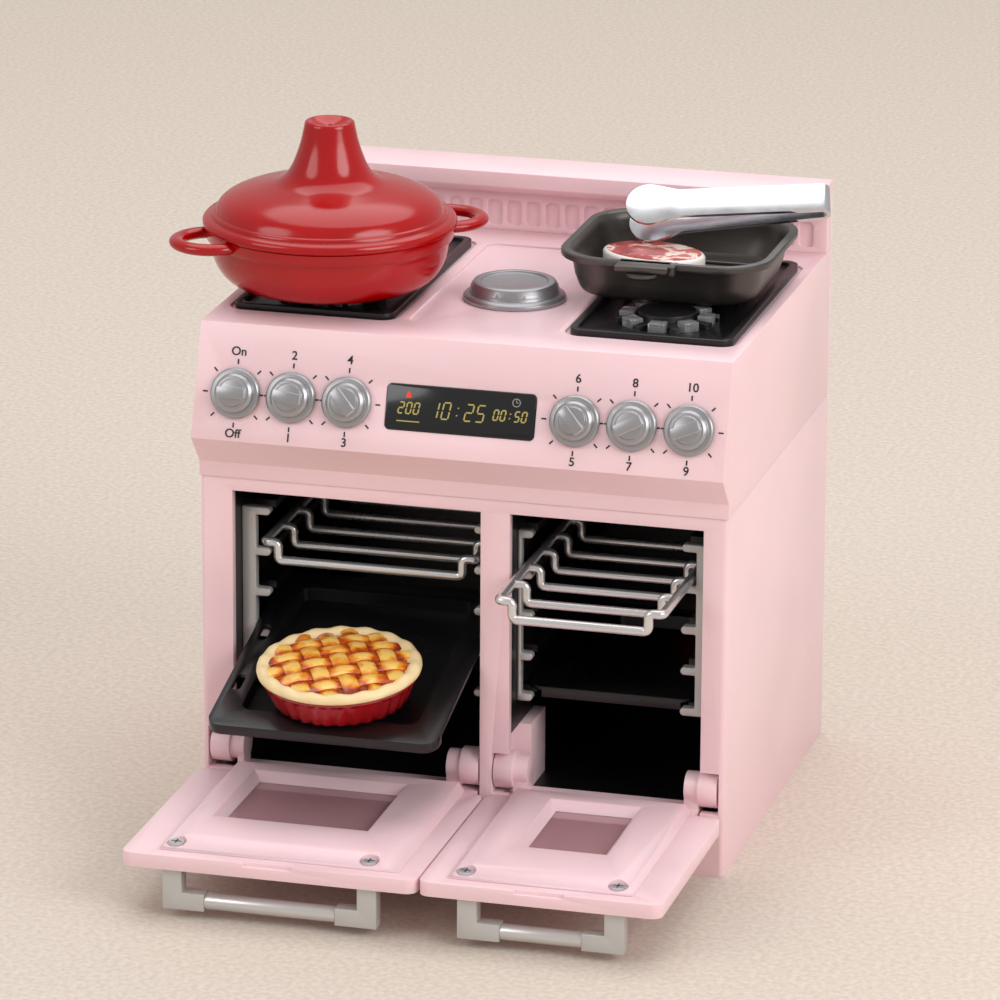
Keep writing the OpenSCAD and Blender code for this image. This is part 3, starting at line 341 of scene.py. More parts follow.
def glowing(name, colour, strength):
    # a flat, even glow: real light for the oven lamps, painted light for the display's printed
    # marks
    material, _, shader, _ = startMaterial(name)
    shader.inputs["Base Color"].default_value = toLinear(colour)
    shader.inputs["Emission Color"].default_value = toLinear(colour)
    shader.inputs["Emission Strength"].default_value = strength
    shader.inputs["Roughness"].default_value = 0.4
    return material


# the body's plastic: pastel, faintly translucent, with a broad soft sheen
pinkAbs = plastic("pinkMouldedAbs", "#F2D0D5", 0.34, bump=0.04, subsurface=0.25)
# burner plates, switch and battery box: near black with a soft sheen
blackAbs = plastic("blackMouldedAbs", "#0E0D0F", 0.32, bump=0.06)
# oven linings: a black a touch darker than the other black, as painted shade, and duller, so that
# the ovens read as deep
blackOven = plastic("blackOvenLining", "#0A090B", 0.4, bump=0.05)
# trays: black with a coarser grain that breaks up the highlights
blackTray = plastic("blackTrayAbs", "#0F0E10", 0.3, grain=0.35, bump=0.08)
# hotplate: silver paint, bright but not a mirror
silverPaint = plastic("silverPaintedAbs", "#9B999C", 0.36, bump=0.05, metallic=0.75, coat=0.2)
# handle brackets: a pale, satin silver
bracketPaint = plastic("satinSilverPaint", "#C4C2BF", 0.42, bump=0.06, metallic=0.35)
# handle bars: the brackets' silver paint, made lighter here as a painted highlight, with one long
# highlight
barSkin = plastic("satinBarPaint", "#D2D0CE", 0.3, bump=0.04, metallic=0.6)
# screws and pins: plated steel, a little uneven in tone
steel = plastic("zincPlatedSteel", "#CFD0D3", 0.3, bump=0.05, drift=0.06, metallic=0.55)
# burner teeth: clear, with bright edges
clearStyrene = clearPlastic("clearStyrene", "#F4F6F8", 0.86)
# door panes: a pink tint, half see-through
tintedPane = clearPlastic("tintedPane", "#E3B3B8", 0.5)
# display: glossy black that mirrors the room
displayBlack = plastic("displayWindowBlack", "#0C0B0C", 0.12, bump=0.0, coat=0.3)
print("materials made")

# the table under the toy, its size in metres and its relief in mm
table = {"size": 8, "dark": "#CCBFB2", "light": "#DACEC1", "speckle": 700.0, "bump": 0.25}


def makeFloor():
    bpy.ops.mesh.primitive_plane_add(size=table["size"])
    floor = bpy.context.object
    floor.name = "floor"
    # a pale matt table top with a fine speckle
    material, tree, shader, place = startMaterial("paleTable")
    speckle = noise(tree, place, scale=table["speckle"], detail=4.0)
    ramp(tree, speckle.outputs[0],
         [(0.35, toLinear(table["dark"])), (0.65, toLinear(table["light"]))],
         shader.inputs["Base Color"])
    shader.inputs["Roughness"].default_value = 0.9
    relief(tree, shader, speckle.outputs[0], strength=0.25, depth=table["bump"])
    painted(floor, material)


makeFloor()

# the pink mouldings of the cabinet and the doors, with the width of their rounded edges
for node, name, width in (("cabinet_shell", "cabinetShell", 0.5), ("hob_top", "hobTop", 0.5),
                          ("backsplash", "backsplash", 0.35), ("back_cover", "backCover", 0.3),
                          ("base_plate", "basePlate", 0.2), ("battery_cover", "batteryCover", 0.2),
                          ("left_door_panel", "leftDoorPanel", 0.4),
                          ("right_door_panel", "rightDoorPanel", 0.4),
                          ("left_door_frame", "leftDoorFrame", 0.3),
                          ("right_door_frame", "rightDoorFrame", 0.3)):
    moulded(node, name, pinkAbs, width)
print("cabinet and doors made")

# nodes that keep their construction shape
for material, nodes in ((blackOven, ("left_oven_liner", "right_oven_liner")),
                        (blackAbs, ("battery_box", "power_switch", "switch_housing")),
                        (tintedPane, ("left_door_window", "right_door_window"))):
    for node in nodes:
        painted(frame["nodes"][node], material)
for node in frame["nodes"]:
    if "screw" in node or "hinge_pin" in node:
        painted(frame["nodes"][node], steel)
print("plain nodes painted")


# shapes modelled one by one

def eased(points, steps=4):
    # a smooth run of points through a few given ones, each [across, up]
    ends = [points[0]] + list(points) + [points[-1]]
    run = []
    for i in range(1, len(ends) - 2):
        a, b, c, d = ends[i - 1:i + 3]
        for step in range(steps):
            t = step / steps
            run.append([0.5 * (2 * b[k] + (c[k] - a[k]) * t
                               + (2 * a[k] - 5 * b[k] + 4 * c[k] - d[k]) * t * t
                               + (3 * b[k] - a[k] - 3 * c[k] + d[k]) * t ** 3)
                        for k in (0, 1)])
    return run + [list(points[-1])]


def drawnOut(piece, centre, sizes):
    # the piece's one face is drawn up and resized along [width, depth, height] steps
    openMesh()
    for last, step in zip(sizes, sizes[1:]):
        rise = (0, 0, (step[2] - last[2]) * mm)
        bpy.ops.mesh.extrude_region_move(TRANSFORM_OT_translate={"value": rise})
        bpy.ops.transform.resize(value=(step[0] / last[0], step[1] / last[1], 1),
                                 center_override=centre)
    closeMesh()
    return outward(settle(piece))


def turned(centre, profile, sides=96):
    # a turned shape from its [radius, height] profile
    deselect()
    radius, height = profile[0]
    start = Vector(centre) + Vector((0, 0, height * mm))
    bpy.ops.mesh.primitive_circle_add(vertices=sides, radius=radius * mm, fill_type="NGON",
                                      location=start)
    return drawnOut(bpy.context.object, centre, [(r, r, z) for r, z in profile])


def dished(centre, corner, sizes):
    # a rounded oblong shape from its [width, depth, height] steps
    deselect()
    width, depth, height = sizes[0]
    start = Vector(centre) + Vector((0, 0, height * mm))
    bpy.ops.mesh.primitive_plane_add(size=1, location=start)
    piece = bpy.context.object
    piece.scale = (width * mm, depth * mm, 1)
    bpy.ops.object.transform_apply(location=False, rotation=False, scale=True)
    openMesh()
    bpy.ops.mesh.bevel(offset=corner * mm, segments=10, affect="VERTICES")
    closeMesh()
    return drawnOut(piece, centre, sizes)


def block(centre, size, matrix=None):
    # a box by its middle and size, in the frame that the matrix gives
    deselect()
    bpy.ops.mesh.primitive_cube_add(size=1)
    piece = bpy.context.object
    piece.scale = [c * mm for c in size]
    piece.location = [c * mm for c in centre]
    settle(piece)
    if matrix:
        piece.data.transform(matrix)
    return piece


def footOf(node):
    # the point under the middle of a node, at its lowest height
    low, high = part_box(node)
    return Vector(((low.x + high.x) / 2, (low.y + high.y) / 2, low.z))


# the pot with its two loops
# gloss plastic: deep red like enamel, with sharp bright highlights
redEnamel = plastic("redEnamel", "#A80003", 0.17, grain=0.3, bump=0.05, drift=0.06)
pot = {"radius": 27.6, "height": 13.4, "turn": 37}
potLoop = {"radius": 7.75, "wide": 3.5, "thick": 2.6, "out": 0.2, "down": 1.45, "cut": 1.5}


def makePotLoop():
    # a flattened ring, cut off where it meets the wall
    deselect()
    place = ((pot["radius"] + potLoop["out"]) * mm, 0, (pot["height"] - potLoop["down"]) * mm)
    bpy.ops.mesh.primitive_torus_add(
        major_segments=48, minor_segments=16, major_radius=potLoop["radius"] * mm,
        minor_radius=potLoop["wide"] / 2 * mm, location=place)
    loop = bpy.context.object
    loop.scale = (1, 1, potLoop["thick"] / potLoop["wide"])
    settle(loop)
    openMesh()
    wall = ((pot["radius"] - potLoop["cut"]) * mm, 0, 0)
    bpy.ops.mesh.bisect(plane_co=wall, plane_no=(1, 0, 0), clear_inner=True, use_fill=True)
    closeMesh()
    return loop


def makePot():
    foot = footOf("pot_base")
    r, h = pot["radius"], pot["height"]
    outer = eased([[r - 9, 0], [r - 6, 0.8], [r - 3.4, 2.9], [r - 1.8, 5.8], [r - 1.2, 8.6],
                   [r - 1.1, h - 3.3]])
    rim = [[r - 0.9, h - 2.9], [r - 0.2, h - 2.7], [r, h - 2.4], [r, h - 0.3], [r - 0.3, h],
           [r - 1.1, h], [r - 1.4, h - 0.3], [r - 1.4, h - 1.8]]
    inner = eased([[r - 2.3, h - 3.2], [r - 2.6, 8.8], [r - 3.2, 6.4], [r - 4.6, 4],
                   [r - 6.6, 2.2], [r - 9.2, 1.4]])
    pieces = [turned(foot, outer + rim + inner)]
    for side in (0, 180):
        loop = makePotLoop()
        loop.data.transform(Matrix.Translation(foot)
                            @ Matrix.Rotation(radians(pot["turn"] + side), 4, "Z"))
        pieces.append(outward(loop))
    body = joined(pieces)
    finished(smooth(body, angle=40), "potBody", redEnamel, "pot", ["pot_base"])


# the pot's lid: how far its edge stands out over the pot, and its height to the knob's top
lid = {"over": 0.7, "height": 23.5}


def makeLid():
    foot = footOf("pot_lid")
    foot.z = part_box("pot_lid")[1].z - lid["height"] * mm
    r, h = pot["radius"] + lid["over"], lid["height"]
    outer = [[r - 3.2, -1.2], [r - 2.6, -1.2], [r - 2.6, 0], [r - 0.3, 0], [r, 0.3],
             [r, 1.2], [r - 0.25, 1.6], [r - 0.7, 2.0], [r - 1.7, 2.05], [r - 1.9, 2.2],
             [r - 2.0, 2.8], [r - 2.2, 3.05], [r - 2.8, 3.2]]
    dome = eased([[r - 3.1, 4.0], [r - 4, 5.3], [r - 6, 6.7], [r - 9.3, 8.0], [r - 13.3, 9.0],
                  [12, 9.8], [9.9, 11.2], [8.5, 13.2], [7.4, 15.8], [6.5, h - 4.9],
                  [5.9, h - 2.3], [5.6, h - 0.8]])
    mouth = [[5.5, h - 0.4], [5.2, h - 0.1], [4.8, h], [4.3, h - 0.1], [3.4, h - 0.7],
             [2.0, h - 1.1], [1.5, h - 1.3], [1.3, h - 1.7], [1.3, h - 4.5]]
    cover = turned(foot, outer + dome + mouth)
    finished(smooth(cover, angle=40), "potLid", redEnamel, "lid", ["pot_lid"])


makePot()
makeLid()
print("pot made")

# the grill pan
# plastic with a cast finish: dark warm grey, mottled, with a dull metal sheen
panMetal = plastic("castPanFinish", "#5C5754", 0.36, grain=0.4, bump=0.12, drift=0.12,
                   metallic=0.85)
pan = {"width": 48.0, "depth": 46.5, "height": 10.0, "corner": 9.0}
panRidge = {"count": 7, "pitch": 3.7, "up": 1.7, "short": 18, "wide": 1.3, "high": 0.9}
# the spout at the front: its middle, its flat top, the round tongue under it and a cheek
panLug = {"x": -2.5, "out": 0.4, "size": (12, 6.4, 1.5), "tongueOut": 1.6,
          "cheek": (1.4, 4.4, 2.4), "cheekX": 6.6, "cheekIn": 0.2, "cheekDown": 1.1}


def makePanLug(foot):
    front, top = -pan["depth"] / 2, pan["height"]
    place = Matrix.Translation(foot)
    lug = block((panLug["x"], front - panLug["out"], top - panLug["size"][2] / 2),
                panLug["size"], place)
    start = foot + Vector((panLug["x"] * mm, (front - panLug["tongueOut"]) * mm, 0))
    tongue = turned(start, [[3.2, top - 2.8], [3.7, top - 2.3], [3.7, top - 1.6]],
                    sides=48)
    cheek = block((panLug["x"] + panLug["cheekX"], front + panLug["cheekIn"],
                   top - panLug["cheekDown"]), panLug["cheek"], place)
    return [edged(lug, width=0.4), tongue, edged(cheek, width=0.4)]


def makePan():
    foot = footOf("grill_pan")
    foot.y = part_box("grill_pan")[1].y - pan["depth"] / 2 * mm
    w, d, h = pan["width"], pan["depth"], pan["height"]
    # how much narrower than the rim, and how high, from the foot over the rim to the floor
    steps = ((10, 0), (8.6, 0.3), (7.4, 1.2), (5.6, 4), (4.4, h - 2.2), (3.8, h - 1.7),
             (0.4, h - 1.6), (0, h - 1.3), (0, h - 0.3), (0.5, h), (3.4, h), (4.2, h - 0.4),
             (5.2, h - 2), (7, 4), (9, 1.9), (11.5, 1.4))
    pieces = [dished(foot, pan["corner"], [(w - less, d - less, z) for less, z in steps])]
    for i in range(panRidge["count"]):
        y = (i - (panRidge["count"] - 1) / 2) * panRidge["pitch"]
        ridge = block((0, y, panRidge["up"]),
                      (w - panRidge["short"], panRidge["wide"], panRidge["high"]),
                      Matrix.Translation(foot))
        pieces.append(edged(ridge, width=0.3))
    body = joined(pieces + makePanLug(foot))
    finished(smooth(body, angle=40), "grillPan", panMetal, "pan",
             ["grill_pan"])


# sockets of the colour mixer
mixer = {"factor": 0, "first": 6, "second": 7, "result": 2}


def meatMaterial():
    # raw beef: red muscle broken by cream fat, with fine pale streaks, and a wet gloss
    material, tree, shader, place = startMaterial("marbledBeef")
    warp = noise(tree, place, scale=190.0, detail=3.0)
    warped = addNode(tree, "ShaderNodeVectorMath",
                     {"operation": "MULTIPLY_ADD", 1: (0.012, 0.012, 0.0)},
                     {0: warp.outputs["Color"], 2: place}).outputs[0]
    blots = noise(tree, warped, scale=130.0, detail=2.0)
    streaks = noise(tree, warped, scale=420.0, detail=3.0)
    colour = ramp(tree, blots.outputs[0], [
        (0.34, toLinear("#8E1512")), (0.45, toLinear("#BA2F28")), (0.50, toLinear("#F0DDD0")),
        (0.53, toLinear("#EFD9CC")), (0.57, toLinear("#BC2A22")), (0.72, toLinear("#D8847A"))])
    pale = ramp(tree, streaks.outputs[0], [(0.58, grey(0)), (0.68, grey(0.4))])
    blend = addNode(tree, "ShaderNodeMix", {"data_type": "RGBA"},
                    {mixer["factor"]: pale, mixer["first"]: colour})
    blend.inputs[mixer["second"]].default_value = toLinear("#F6E6DC")
    tree.links.new(blend.outputs[mixer["result"]], shader.inputs["Base Color"])
    shader.inputs["Roughness"].default_value = 0.34
    shader.inputs["Coat Weight"].default_value = 0.1
    return material


# the steak: a pale edge of fat with the cut face on it
# fat: cream, soft and a little translucent
fat = plastic("creamFat", "#EFE6E0", 0.34, bump=0.03, drift=0.05, coat=0.2, subsurface=0.3)
beef = meatMaterial()
steak = {"turn": -12, "long": 1.42, "broad": 0.98, "sides": 64}


def makeSteak():
    foot = footOf("steak")
    h = (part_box("steak")[1].z - foot.z) / mm
    body = turned(foot, [[7.9, 0], [8.4, 0.3], [8.5, 1], [8.5, h - 0.7], [8.3, h - 0.25],
                         [7.8, h]], steak["sides"])
    face = turned(foot, [[7.9, h - 0.6], [7.85, h + 0.02], [7.6, h + 0.08]], steak["sides"])
    shape = (Matrix.Translation(foot) @ Matrix.Rotation(radians(steak["turn"]), 4, "Z")
             @ Matrix.Diagonal((steak["long"], steak["broad"], 1, 1))
             @ Matrix.Translation(-foot))
    body.data.transform(shape)
    face.data.transform(shape)
    finished(smooth(body, angle=40), "steakBody", fat, "steak", ["steak"])
    finished(smooth(face, angle=40), "steakFace", beef, "steak")


makePan()
makeSteak()
# tongs: a bright metal skin that mirrors the hob
tongsSkin = metallised("polishedTongs", "#DCDCDF", 0.2)
moulded("tongs", "tongsStrip", tongsSkin, width=0.25, segments=3)
print("pan, steak and tongs made")

# the pie in its fluted dish
# dish: a dark red glaze under a clear shine
redDish = plastic("redGlazedDish", "#9E0E16", 0.2, drift=0.06, coat=0.6)
# crust: pale, dry and grainy
pastry = plastic("palePastry", "#F2D9A6", 0.4, grain=0.5, bump=0.1, drift=0.05, subsurface=0.2)
# filling: brown-red, wet and lumpy
berries = plastic("berryFilling", "#A8420F", 0.2, bump=0.2, drift=0.3, coat=0.4)
pie = {"foot": 14.9, "top": 17.6, "dish": 6.6, "tilt": 7.8, "crown": 8.75}
pieFlute = {"sectors": 60, "deep": 0.45, "inside": 14.2, "top": 6.1}
pieRim = {"waves": 18, "wave": 0.22, "waveFrom": 7.4}
lattice = {"strips": 5, "pitch": 5.3, "width": 3.7, "thick": 0.7, "reach": 17.0, "turn": 28,
           "weave": 0.28, "swell": 0.35, "fall": 16}


def bakedMaterial():
    # egg-washed pastry in patches of yellow and orange, with painted shade: yellow on the tops of
    # the weave, orange to dark red-brown in its dips and along the strip edges; a thick shine
    material, tree, shader, place = startMaterial("bakedLattice")
    patches = noise(tree, place, scale=300.0, detail=4.0)
    weaveShade = addNode(tree, "ShaderNodeAttribute", {"attribute_name": "weaveShade"})
    depth = addNode(tree, "ShaderNodeMath", {"operation": "MULTIPLY_ADD", 1: 0.55, 2: -0.2},
                    {0: weaveShade.outputs["Fac"]})
    level = addNode(tree, "ShaderNodeMath", {"operation": "SUBTRACT"},
                    {0: patches.outputs[0], 1: depth.outputs[0]})
    ramp(tree, level.outputs[0], [
        (0.22, toLinear("#8A2A0C")), (0.38, toLinear("#CC5714")), (0.52, toLinear("#EE9A2C")),
        (0.68, toLinear("#F8CC6A"))], shader.inputs["Base Color"])
    shader.inputs["Roughness"].default_value = 0.25
    shader.inputs["Coat Weight"].default_value = 0.5
    relief(tree, shader, patches.outputs[0], strength=0.25, depth=0.3)
    return material


def paintShade(piece, amount):
    # how much painted shade each point gets, from a function of its place
    layer = piece.data.attributes.new("weaveShade", "FLOAT", "POINT")
    for vertex, value in zip(piece.data.vertices, layer.data):
        value.value = amount(vertex.co / mm)


def sector(point, count):
    # which of so many equal sectors round the middle a point is in
    return int((atan2(point.y, point.x) / (2 * pi) + 0.5) * count + 0.5)


def makePieDish():
    dish = turned((0, 0, 0), [[pie["foot"] - 0.4, 0], [pie["foot"], 0.3], [15.6, 2], [16.9, 5],
                              [17.3, 6.0], [17.7, 6.2], [17.7, pie["dish"]],
                              [16.6, pie["dish"]], [15.0, 2.2], [13.9, 1.3]],
                  sides=120)
    for vertex in dish.data.vertices:
        across = Vector((vertex.co.x, vertex.co.y, 0))
        inWall = across.length > pieFlute["inside"] * mm and vertex.co.z < pieFlute["top"] * mm
        if inWall and sector(vertex.co, pieFlute["sectors"]) % 2:
            vertex.co -= across.normalized() * pieFlute["deep"] * mm
    return dish


def makePieRim():
    # the thick edge of the crust, its top waved
    rim = turned((0, 0, 0), [[15.6, 6.3], [17.5, 6.6], [18.1, 7.0], [18.2, 7.5], [17.9, 8.2],
                             [17.1, 8.75], [16.2, 8.7], [15.4, 8.2], [14.8, 7.6]])
    for vertex in rim.data.vertices:
        if vertex.co.z > pieRim["waveFrom"] * mm:
            turn = atan2(vertex.co.y, vertex.co.x)
            vertex.co.z += pieRim["wave"] * mm * sin(pieRim["waves"] * turn)
    return rim


def makeStrip(way, i):
    # one strip of the lattice: domed over the filling, and woven over and under the others
    pitch, width = lattice["pitch"], lattice["width"]
    off = (i - (lattice["strips"] + 1) / 2) * pitch
    half = sqrt(lattice["reach"] ** 2 - (abs(off) + width / 2) ** 2)
    phase = pi * (i + way)
    strip = block((0, 0, 0), (2 * half, width, lattice["thick"]))
    openMesh()
    for cuts in (1, 4, 2):
        bpy.ops.mesh.subdivide(number_cuts=cuts)
    closeMesh()
    for vertex in strip.data.vertices:
        along, aside = vertex.co.x / mm, vertex.co.y / mm
        dome = pie["crown"] - (along ** 2 + (aside + off) ** 2) / lattice["fall"] ** 2
        weave = lattice["weave"] * cos(pi * along / pitch + phase)
        swell = lattice["swell"] * (1 - (aside / (width / 2)) ** 2)
        vertex.co.z += (dome + weave + swell) * mm
    # painted shade: darker in the dips of the weave and towards the strip's long edges
    paintShade(strip, lambda spot: 0.5 - 0.5 * cos(pi * spot.x / pitch + phase)
          + 0.6 * abs(spot.y / width) ** 2)
    strip.data.transform(Matrix.Translation((0, off * mm, 0)))
    strip.data.transform(Matrix.Rotation(radians(90 * way), 4, "Z"))
    return strip


def makePie():
    low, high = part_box("pie_dish")
    tilt = radians(pie["tilt"])
    behind = (pie["top"] * cos(tilt) - pie["dish"] * sin(tilt)) * mm
    place = (Matrix.Translation(((low.x + high.x) / 2, high.y - behind,
                                 low.z + pie["foot"] * sin(tilt) * mm))
             @ Matrix.Rotation(tilt, 4, "X"))
    dish, rim = makePieDish(), makePieRim()
    filling = turned((0, 0, 0), eased([[15.3, 7.6], [13, 8.1], [9, 8.5], [5, 8.75], [1, 8.8]],
                                      steps=3))
    strips = [makeStrip(way, i) for way in (0, 1) for i in range(1, lattice["strips"] + 1)]
    woven = joined(strips)
    woven.data.transform(Matrix.Rotation(radians(lattice["turn"]), 4, "Z"))
    for piece, name, material, slotName, nodes in (
            (dish, "pieDish", redDish, "dish_red", ["pie_dish"]),
            (rim, "pieRim", pastry, "crust_plastic", ["pie_crust"]),
            (filling, "pieFilling", berries, "crust_plastic", []),
            (woven, "pieLattice", bakedMaterial(), "crust_plastic", [])):
        piece.data.transform(place)
        finished(smooth(piece, angle=50), name, material, "pie", nodes)


makePie()
print("pie made")

# the sloped fascia: its lower edge, its slope from upright, and how far up the dials are
panel = {"y": -56.3, "z": 92.8, "slope": 17.66, "row": 10.55}
fascia = (Matrix.Translation((0, panel["y"] * mm, panel["z"] * mm))
          @ Matrix.Rotation(radians(90 - panel["slope"]), 4, "X"))


def onFascia(x, y, z):
    return fascia @ Matrix.Translation((x * mm, y * mm, z * mm))


# the six dials, each with a bright bar across it and, on the bar, a grey mark of painted shadow for
# the groove that points to a mark
# dials: silver paint, darker than the bars
dialSilver = plastic("silverDialPaint", "#A9A8AA", 0.32, bump=0.03, metallic=0.75)
# bars: the brightest paint on the fascia
gripSilver = plastic("brightGripPaint", "#E4E4E6", 0.26, bump=0.03, metallic=0.5)
# grooves: a matt grey that reads as shadow
grooveGrey = plastic("grooveShadow", "#5A5A5D", 0.5, bump=0.0)
dial = {"turns": (0, -8, -48, -48, 28, 22), "length": 6.3, "width": 2.4, "height": 1.7,
        "foot": 3.3, "sunk": 0.3, "groove": (2.3, 0.5, 0.06), "grooveAlong": 0.26,
        "grooveUp": 0.02}


def dialMiddle(number):
    low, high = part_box(f"dial_{number}")
    return (low.x + high.x) / 2 / mm


def makeDials():
    for number in range(1, len(dial["turns"]) + 1):
        moulded(f"dial_{number}", f"dial{number}", dialSilver, width=0.16, angle=25)
    for number, turn in enumerate(dial["turns"], 1):
        body = bodyOf[f"dial_{number}"]
        spot = (onFascia(dialMiddle(number), panel["row"], dial["foot"])
                @ Matrix.Rotation(radians(turn), 4, "Z"))
        bar = block((0, 0, dial["height"] / 2 - dial["sunk"]),
                    (dial["length"], dial["width"], dial["height"]), spot)
        finished(edged(bar, width=0.3, segments=3), f"dialGrip{number}", gripSilver, body)
        groove = block((dial["length"] * dial["grooveAlong"], 0,
                        dial["height"] - dial["sunk"] + dial["grooveUp"]), dial["groove"], spot)
        finished(groove, f"dialGroove{number}", grooveGrey, body)


# the marks round the dials: eight ticks each, and a number or word above and below
# ink: flat black
ink = plastic("blackInk", "#1A1718", 0.5, bump=0.0)
labels = (("On", "Off"), ("2", "1"), ("4", "3"), ("6", "5"), ("8", "7"), ("10", "9"))
mark = {"ticks": 8, "radius": 7.0, "tick": (0.34, 1.1, 0.04), "lift": 0.03, "size": 2.7,
        "above": 9.2, "aboveLift": 0.05, "below": -8.9, "belowLift": 0.07, "thick": 0.02,
        "bold": 0.03}


def word(text, x, y, z):
    # a short printed mark, its middle at x and y on the fascia
    deselect()
    bpy.ops.object.text_add()
    label = bpy.context.object
    label.data.body = text
    label.data.size = mark["size"] * mm
    label.data.align_x = "CENTER"
    label.data.align_y = "CENTER"
    label.data.extrude = mark["thick"] * mm
    label.data.offset = mark["bold"] * mm
    bpy.ops.object.convert(target="MESH")
    piece = bpy.context.object
    piece.data.transform(onFascia(x, y, z))
    return piece


def makeMarks():
    up = panel["row"]
    marks = []
    for number, (above, below) in enumerate(labels, 1):
        x = dialMiddle(number)
        for tick in range(mark["ticks"]):
            turn = Matrix.Rotation(2 * pi * tick / mark["ticks"], 4, "Z")
            marks.append(block((0, mark["radius"], 0), mark["tick"],
                               onFascia(x, up, mark["lift"]) @ turn))
        marks.append(word(above, x, up + mark["above"], mark["aboveLift"]))
        marks.append(word(below, x, up + mark["below"], mark["belowLift"]))
    finished(joined(marks), "dialMarks", ink, "root")


# seven-segment digits: where each segment lies, whether it lies flat, and which are shown
segments = {"top": (0, 1, True), "upperLeft": (-0.5, 0.5, False), "upperRight": (0.5, 0.5, False),
            "centre": (0, 0, True), "lowerLeft": (-0.5, -0.5, False),
            "lowerRight": (0.5, -0.5, False), "bottom": (0, -1, True)}
shownSegments = {"0": "top upperLeft upperRight lowerLeft lowerRight bottom", "1": "upperRight lowerRight",
       "2": "top upperRight centre lowerLeft bottom", "5": "top upperLeft centre lowerRight bottom"}
# shares of a digit's height, then sizes
digit = {"step": 0.72, "across": 0.44, "flat": 0.38, "upright": 0.4, "dotUp": 0.225,
         "slope": 0.17, "line": 0.32, "dot": 0.3, "thick": 0.04}


def digits(text, height, x, y):
    # a row of digits, sloped a little
    pieces = []
    slope = Matrix(((1, digit["slope"], 0, 0), (0, 1, 0, 0), (0, 0, 1, 0), (0, 0, 0, 1)))
    step = height * digit["step"]
    left = x - step * (len(text) - 1) / 2
    line, thick = digit["line"], digit["thick"]
    for i, sign in enumerate(text):
        spot = onFascia(left + i * step, y, display["lift"]) @ slope
        if sign == ":":
            for way in (-1, 1):
                pieces.append(block((0, way * digit["dotUp"] * height, 0),
                                    (digit["dot"], digit["dot"], thick), spot))
            continue
        for name in shownSegments[sign].split():
            across, up, flat = segments[name]
            size = ((height * digit["flat"], line, thick) if flat
                    else (line, height * digit["upright"], thick))
            pieces.append(block((across * height * digit["across"], up * height / 2, 0), size,
                                spot))
    return pieces


# the display: its middle, the rows of digits (text, height, place across), a line under the
# first row, a flame over it and a clock over the last
display = {"x": 0.5, "lift": 0.24, "up": -0.1,
           "rows": (("200", 2.4, -11.6), ("10:25", 3.6, -0.6), ("00:50", 2.2, 11.2)),
           "line": (5.2, 0.25, 0.04), "lineX": -11.6, "lineUp": -3.0, "iconUp": 2.9,
           "flameX": -11.8, "flame": (0.7, 0.1, 1.5), "flameFlat": 0.05, "clockX": 12.4,
           "clock": (0.85, 0.1)}
# the clock's two hands, each with its place and size
clockHands = (((0, 0.28, 0), (0.16, 0.6, 0.05)), ((0.2, 0, 0), (0.5, 0.16, 0.05)))


def onDisplay(across, up):
    return onFascia(display["x"] + across, panel["row"] + up, display["lift"])


def makeFlame():
    deselect()
    foot, tip, tall = display["flame"]
    bpy.ops.mesh.primitive_cone_add(vertices=24, radius1=foot * mm, radius2=tip * mm,
                                    depth=tall * mm)
    flame = bpy.context.object
    flame.rotation_euler = (radians(-90), 0, 0)
    flame.scale = (1, display["flameFlat"], 1)
    settle(flame)
    flame.data.transform(onDisplay(display["flameX"], display["iconUp"]))
    # the flame's red glow is painted light on a printed mark
    finished(flame, "flameIcon", glowing("redIcon", "#E0321E", 0.5), "root")


def makeClock():
    deselect()
    radius, line = display["clock"]
    bpy.ops.mesh.primitive_torus_add(major_radius=radius * mm, minor_radius=line * mm)
    ring = bpy.context.object
    spot = onDisplay(display["clockX"], display["iconUp"])
    ring.data.transform(spot)
    hands = [block(place, size, spot) for place, size in clockHands]
    # the clock's faint grey glow is painted light on a printed mark
    finished(joined([ring] + hands), "clockIcon", glowing("greyIcon", "#8F8E8C", 0.15), "root")


def makeDigits():
    shown = []
    for text, height, across in display["rows"]:
        shown += digits(text, height, display["x"] + across, panel["row"] + display["up"])
    shown.append(block((0, 0, 0), display["line"],
                       onDisplay(display["lineX"], display["lineUp"])))
    # the digits' faint olive glow is painted light on printed marks
    finished(joined(shown), "displayDigits", glowing("oliveDigits", "#A89A55", 0.12), "root")


makeDials()
makeMarks()
makeDigits()
makeFlame()
makeClock()
print("dials and display made")

# the two wire racks, a little smaller than their nodes so that they slide freely
# racks: a satin metal skin, bright along the top of each wire
satinChrome = plastic("satinChrome", "#D9D8D8", 0.26, bump=0.03, metallic=0.8)
rack = {"wire": 1.04, "bar": 0.95, "play": 0.06, "drop": 4.1, "crank": 3.15, "bars": 6,
        "pitch": 12, "bend": 1.3, "bendSteps": 6}


def bent(points, bend):
    # a run of points with each inner corner rounded
    run = [Vector(points[0])]
    for before, corner, after in zip(points, points[1:], points[2:]):
        corner = Vector(corner)
        start = corner + (Vector(before) - corner).normalized() * bend
        end = corner + (Vector(after) - corner).normalized() * bend
        for step in range(rack["bendSteps"] + 1):
            t = step / rack["bendSteps"]
            run.append(start * (1 - t) ** 2 + corner * 2 * t * (1 - t) + end * t ** 2)
    return run + [Vector(points[-1])]


def rod(points, radius, bend):
    # a round wire along bent points
    deselect()
    curve = bpy.data.curves.new("rod", "CURVE")
    curve.dimensions = "3D"
    curve.bevel_depth = radius * mm
    curve.bevel_resolution = 5
    curve.use_fill_caps = True
    run = bent(points, bend)
    line = curve.splines.new("POLY")
    line.points.add(len(run) - 1)
    for spot, point in zip(line.points, run):
        spot.co = (point.x * mm, point.y * mm, point.z * mm, 1)
    piece = bpy.data.objects.new("rod", curve)
    bpy.context.scene.collection.objects.link(piece)
    pick(piece)
    bpy.ops.object.convert(target="MESH")
    return outward(bpy.context.object)


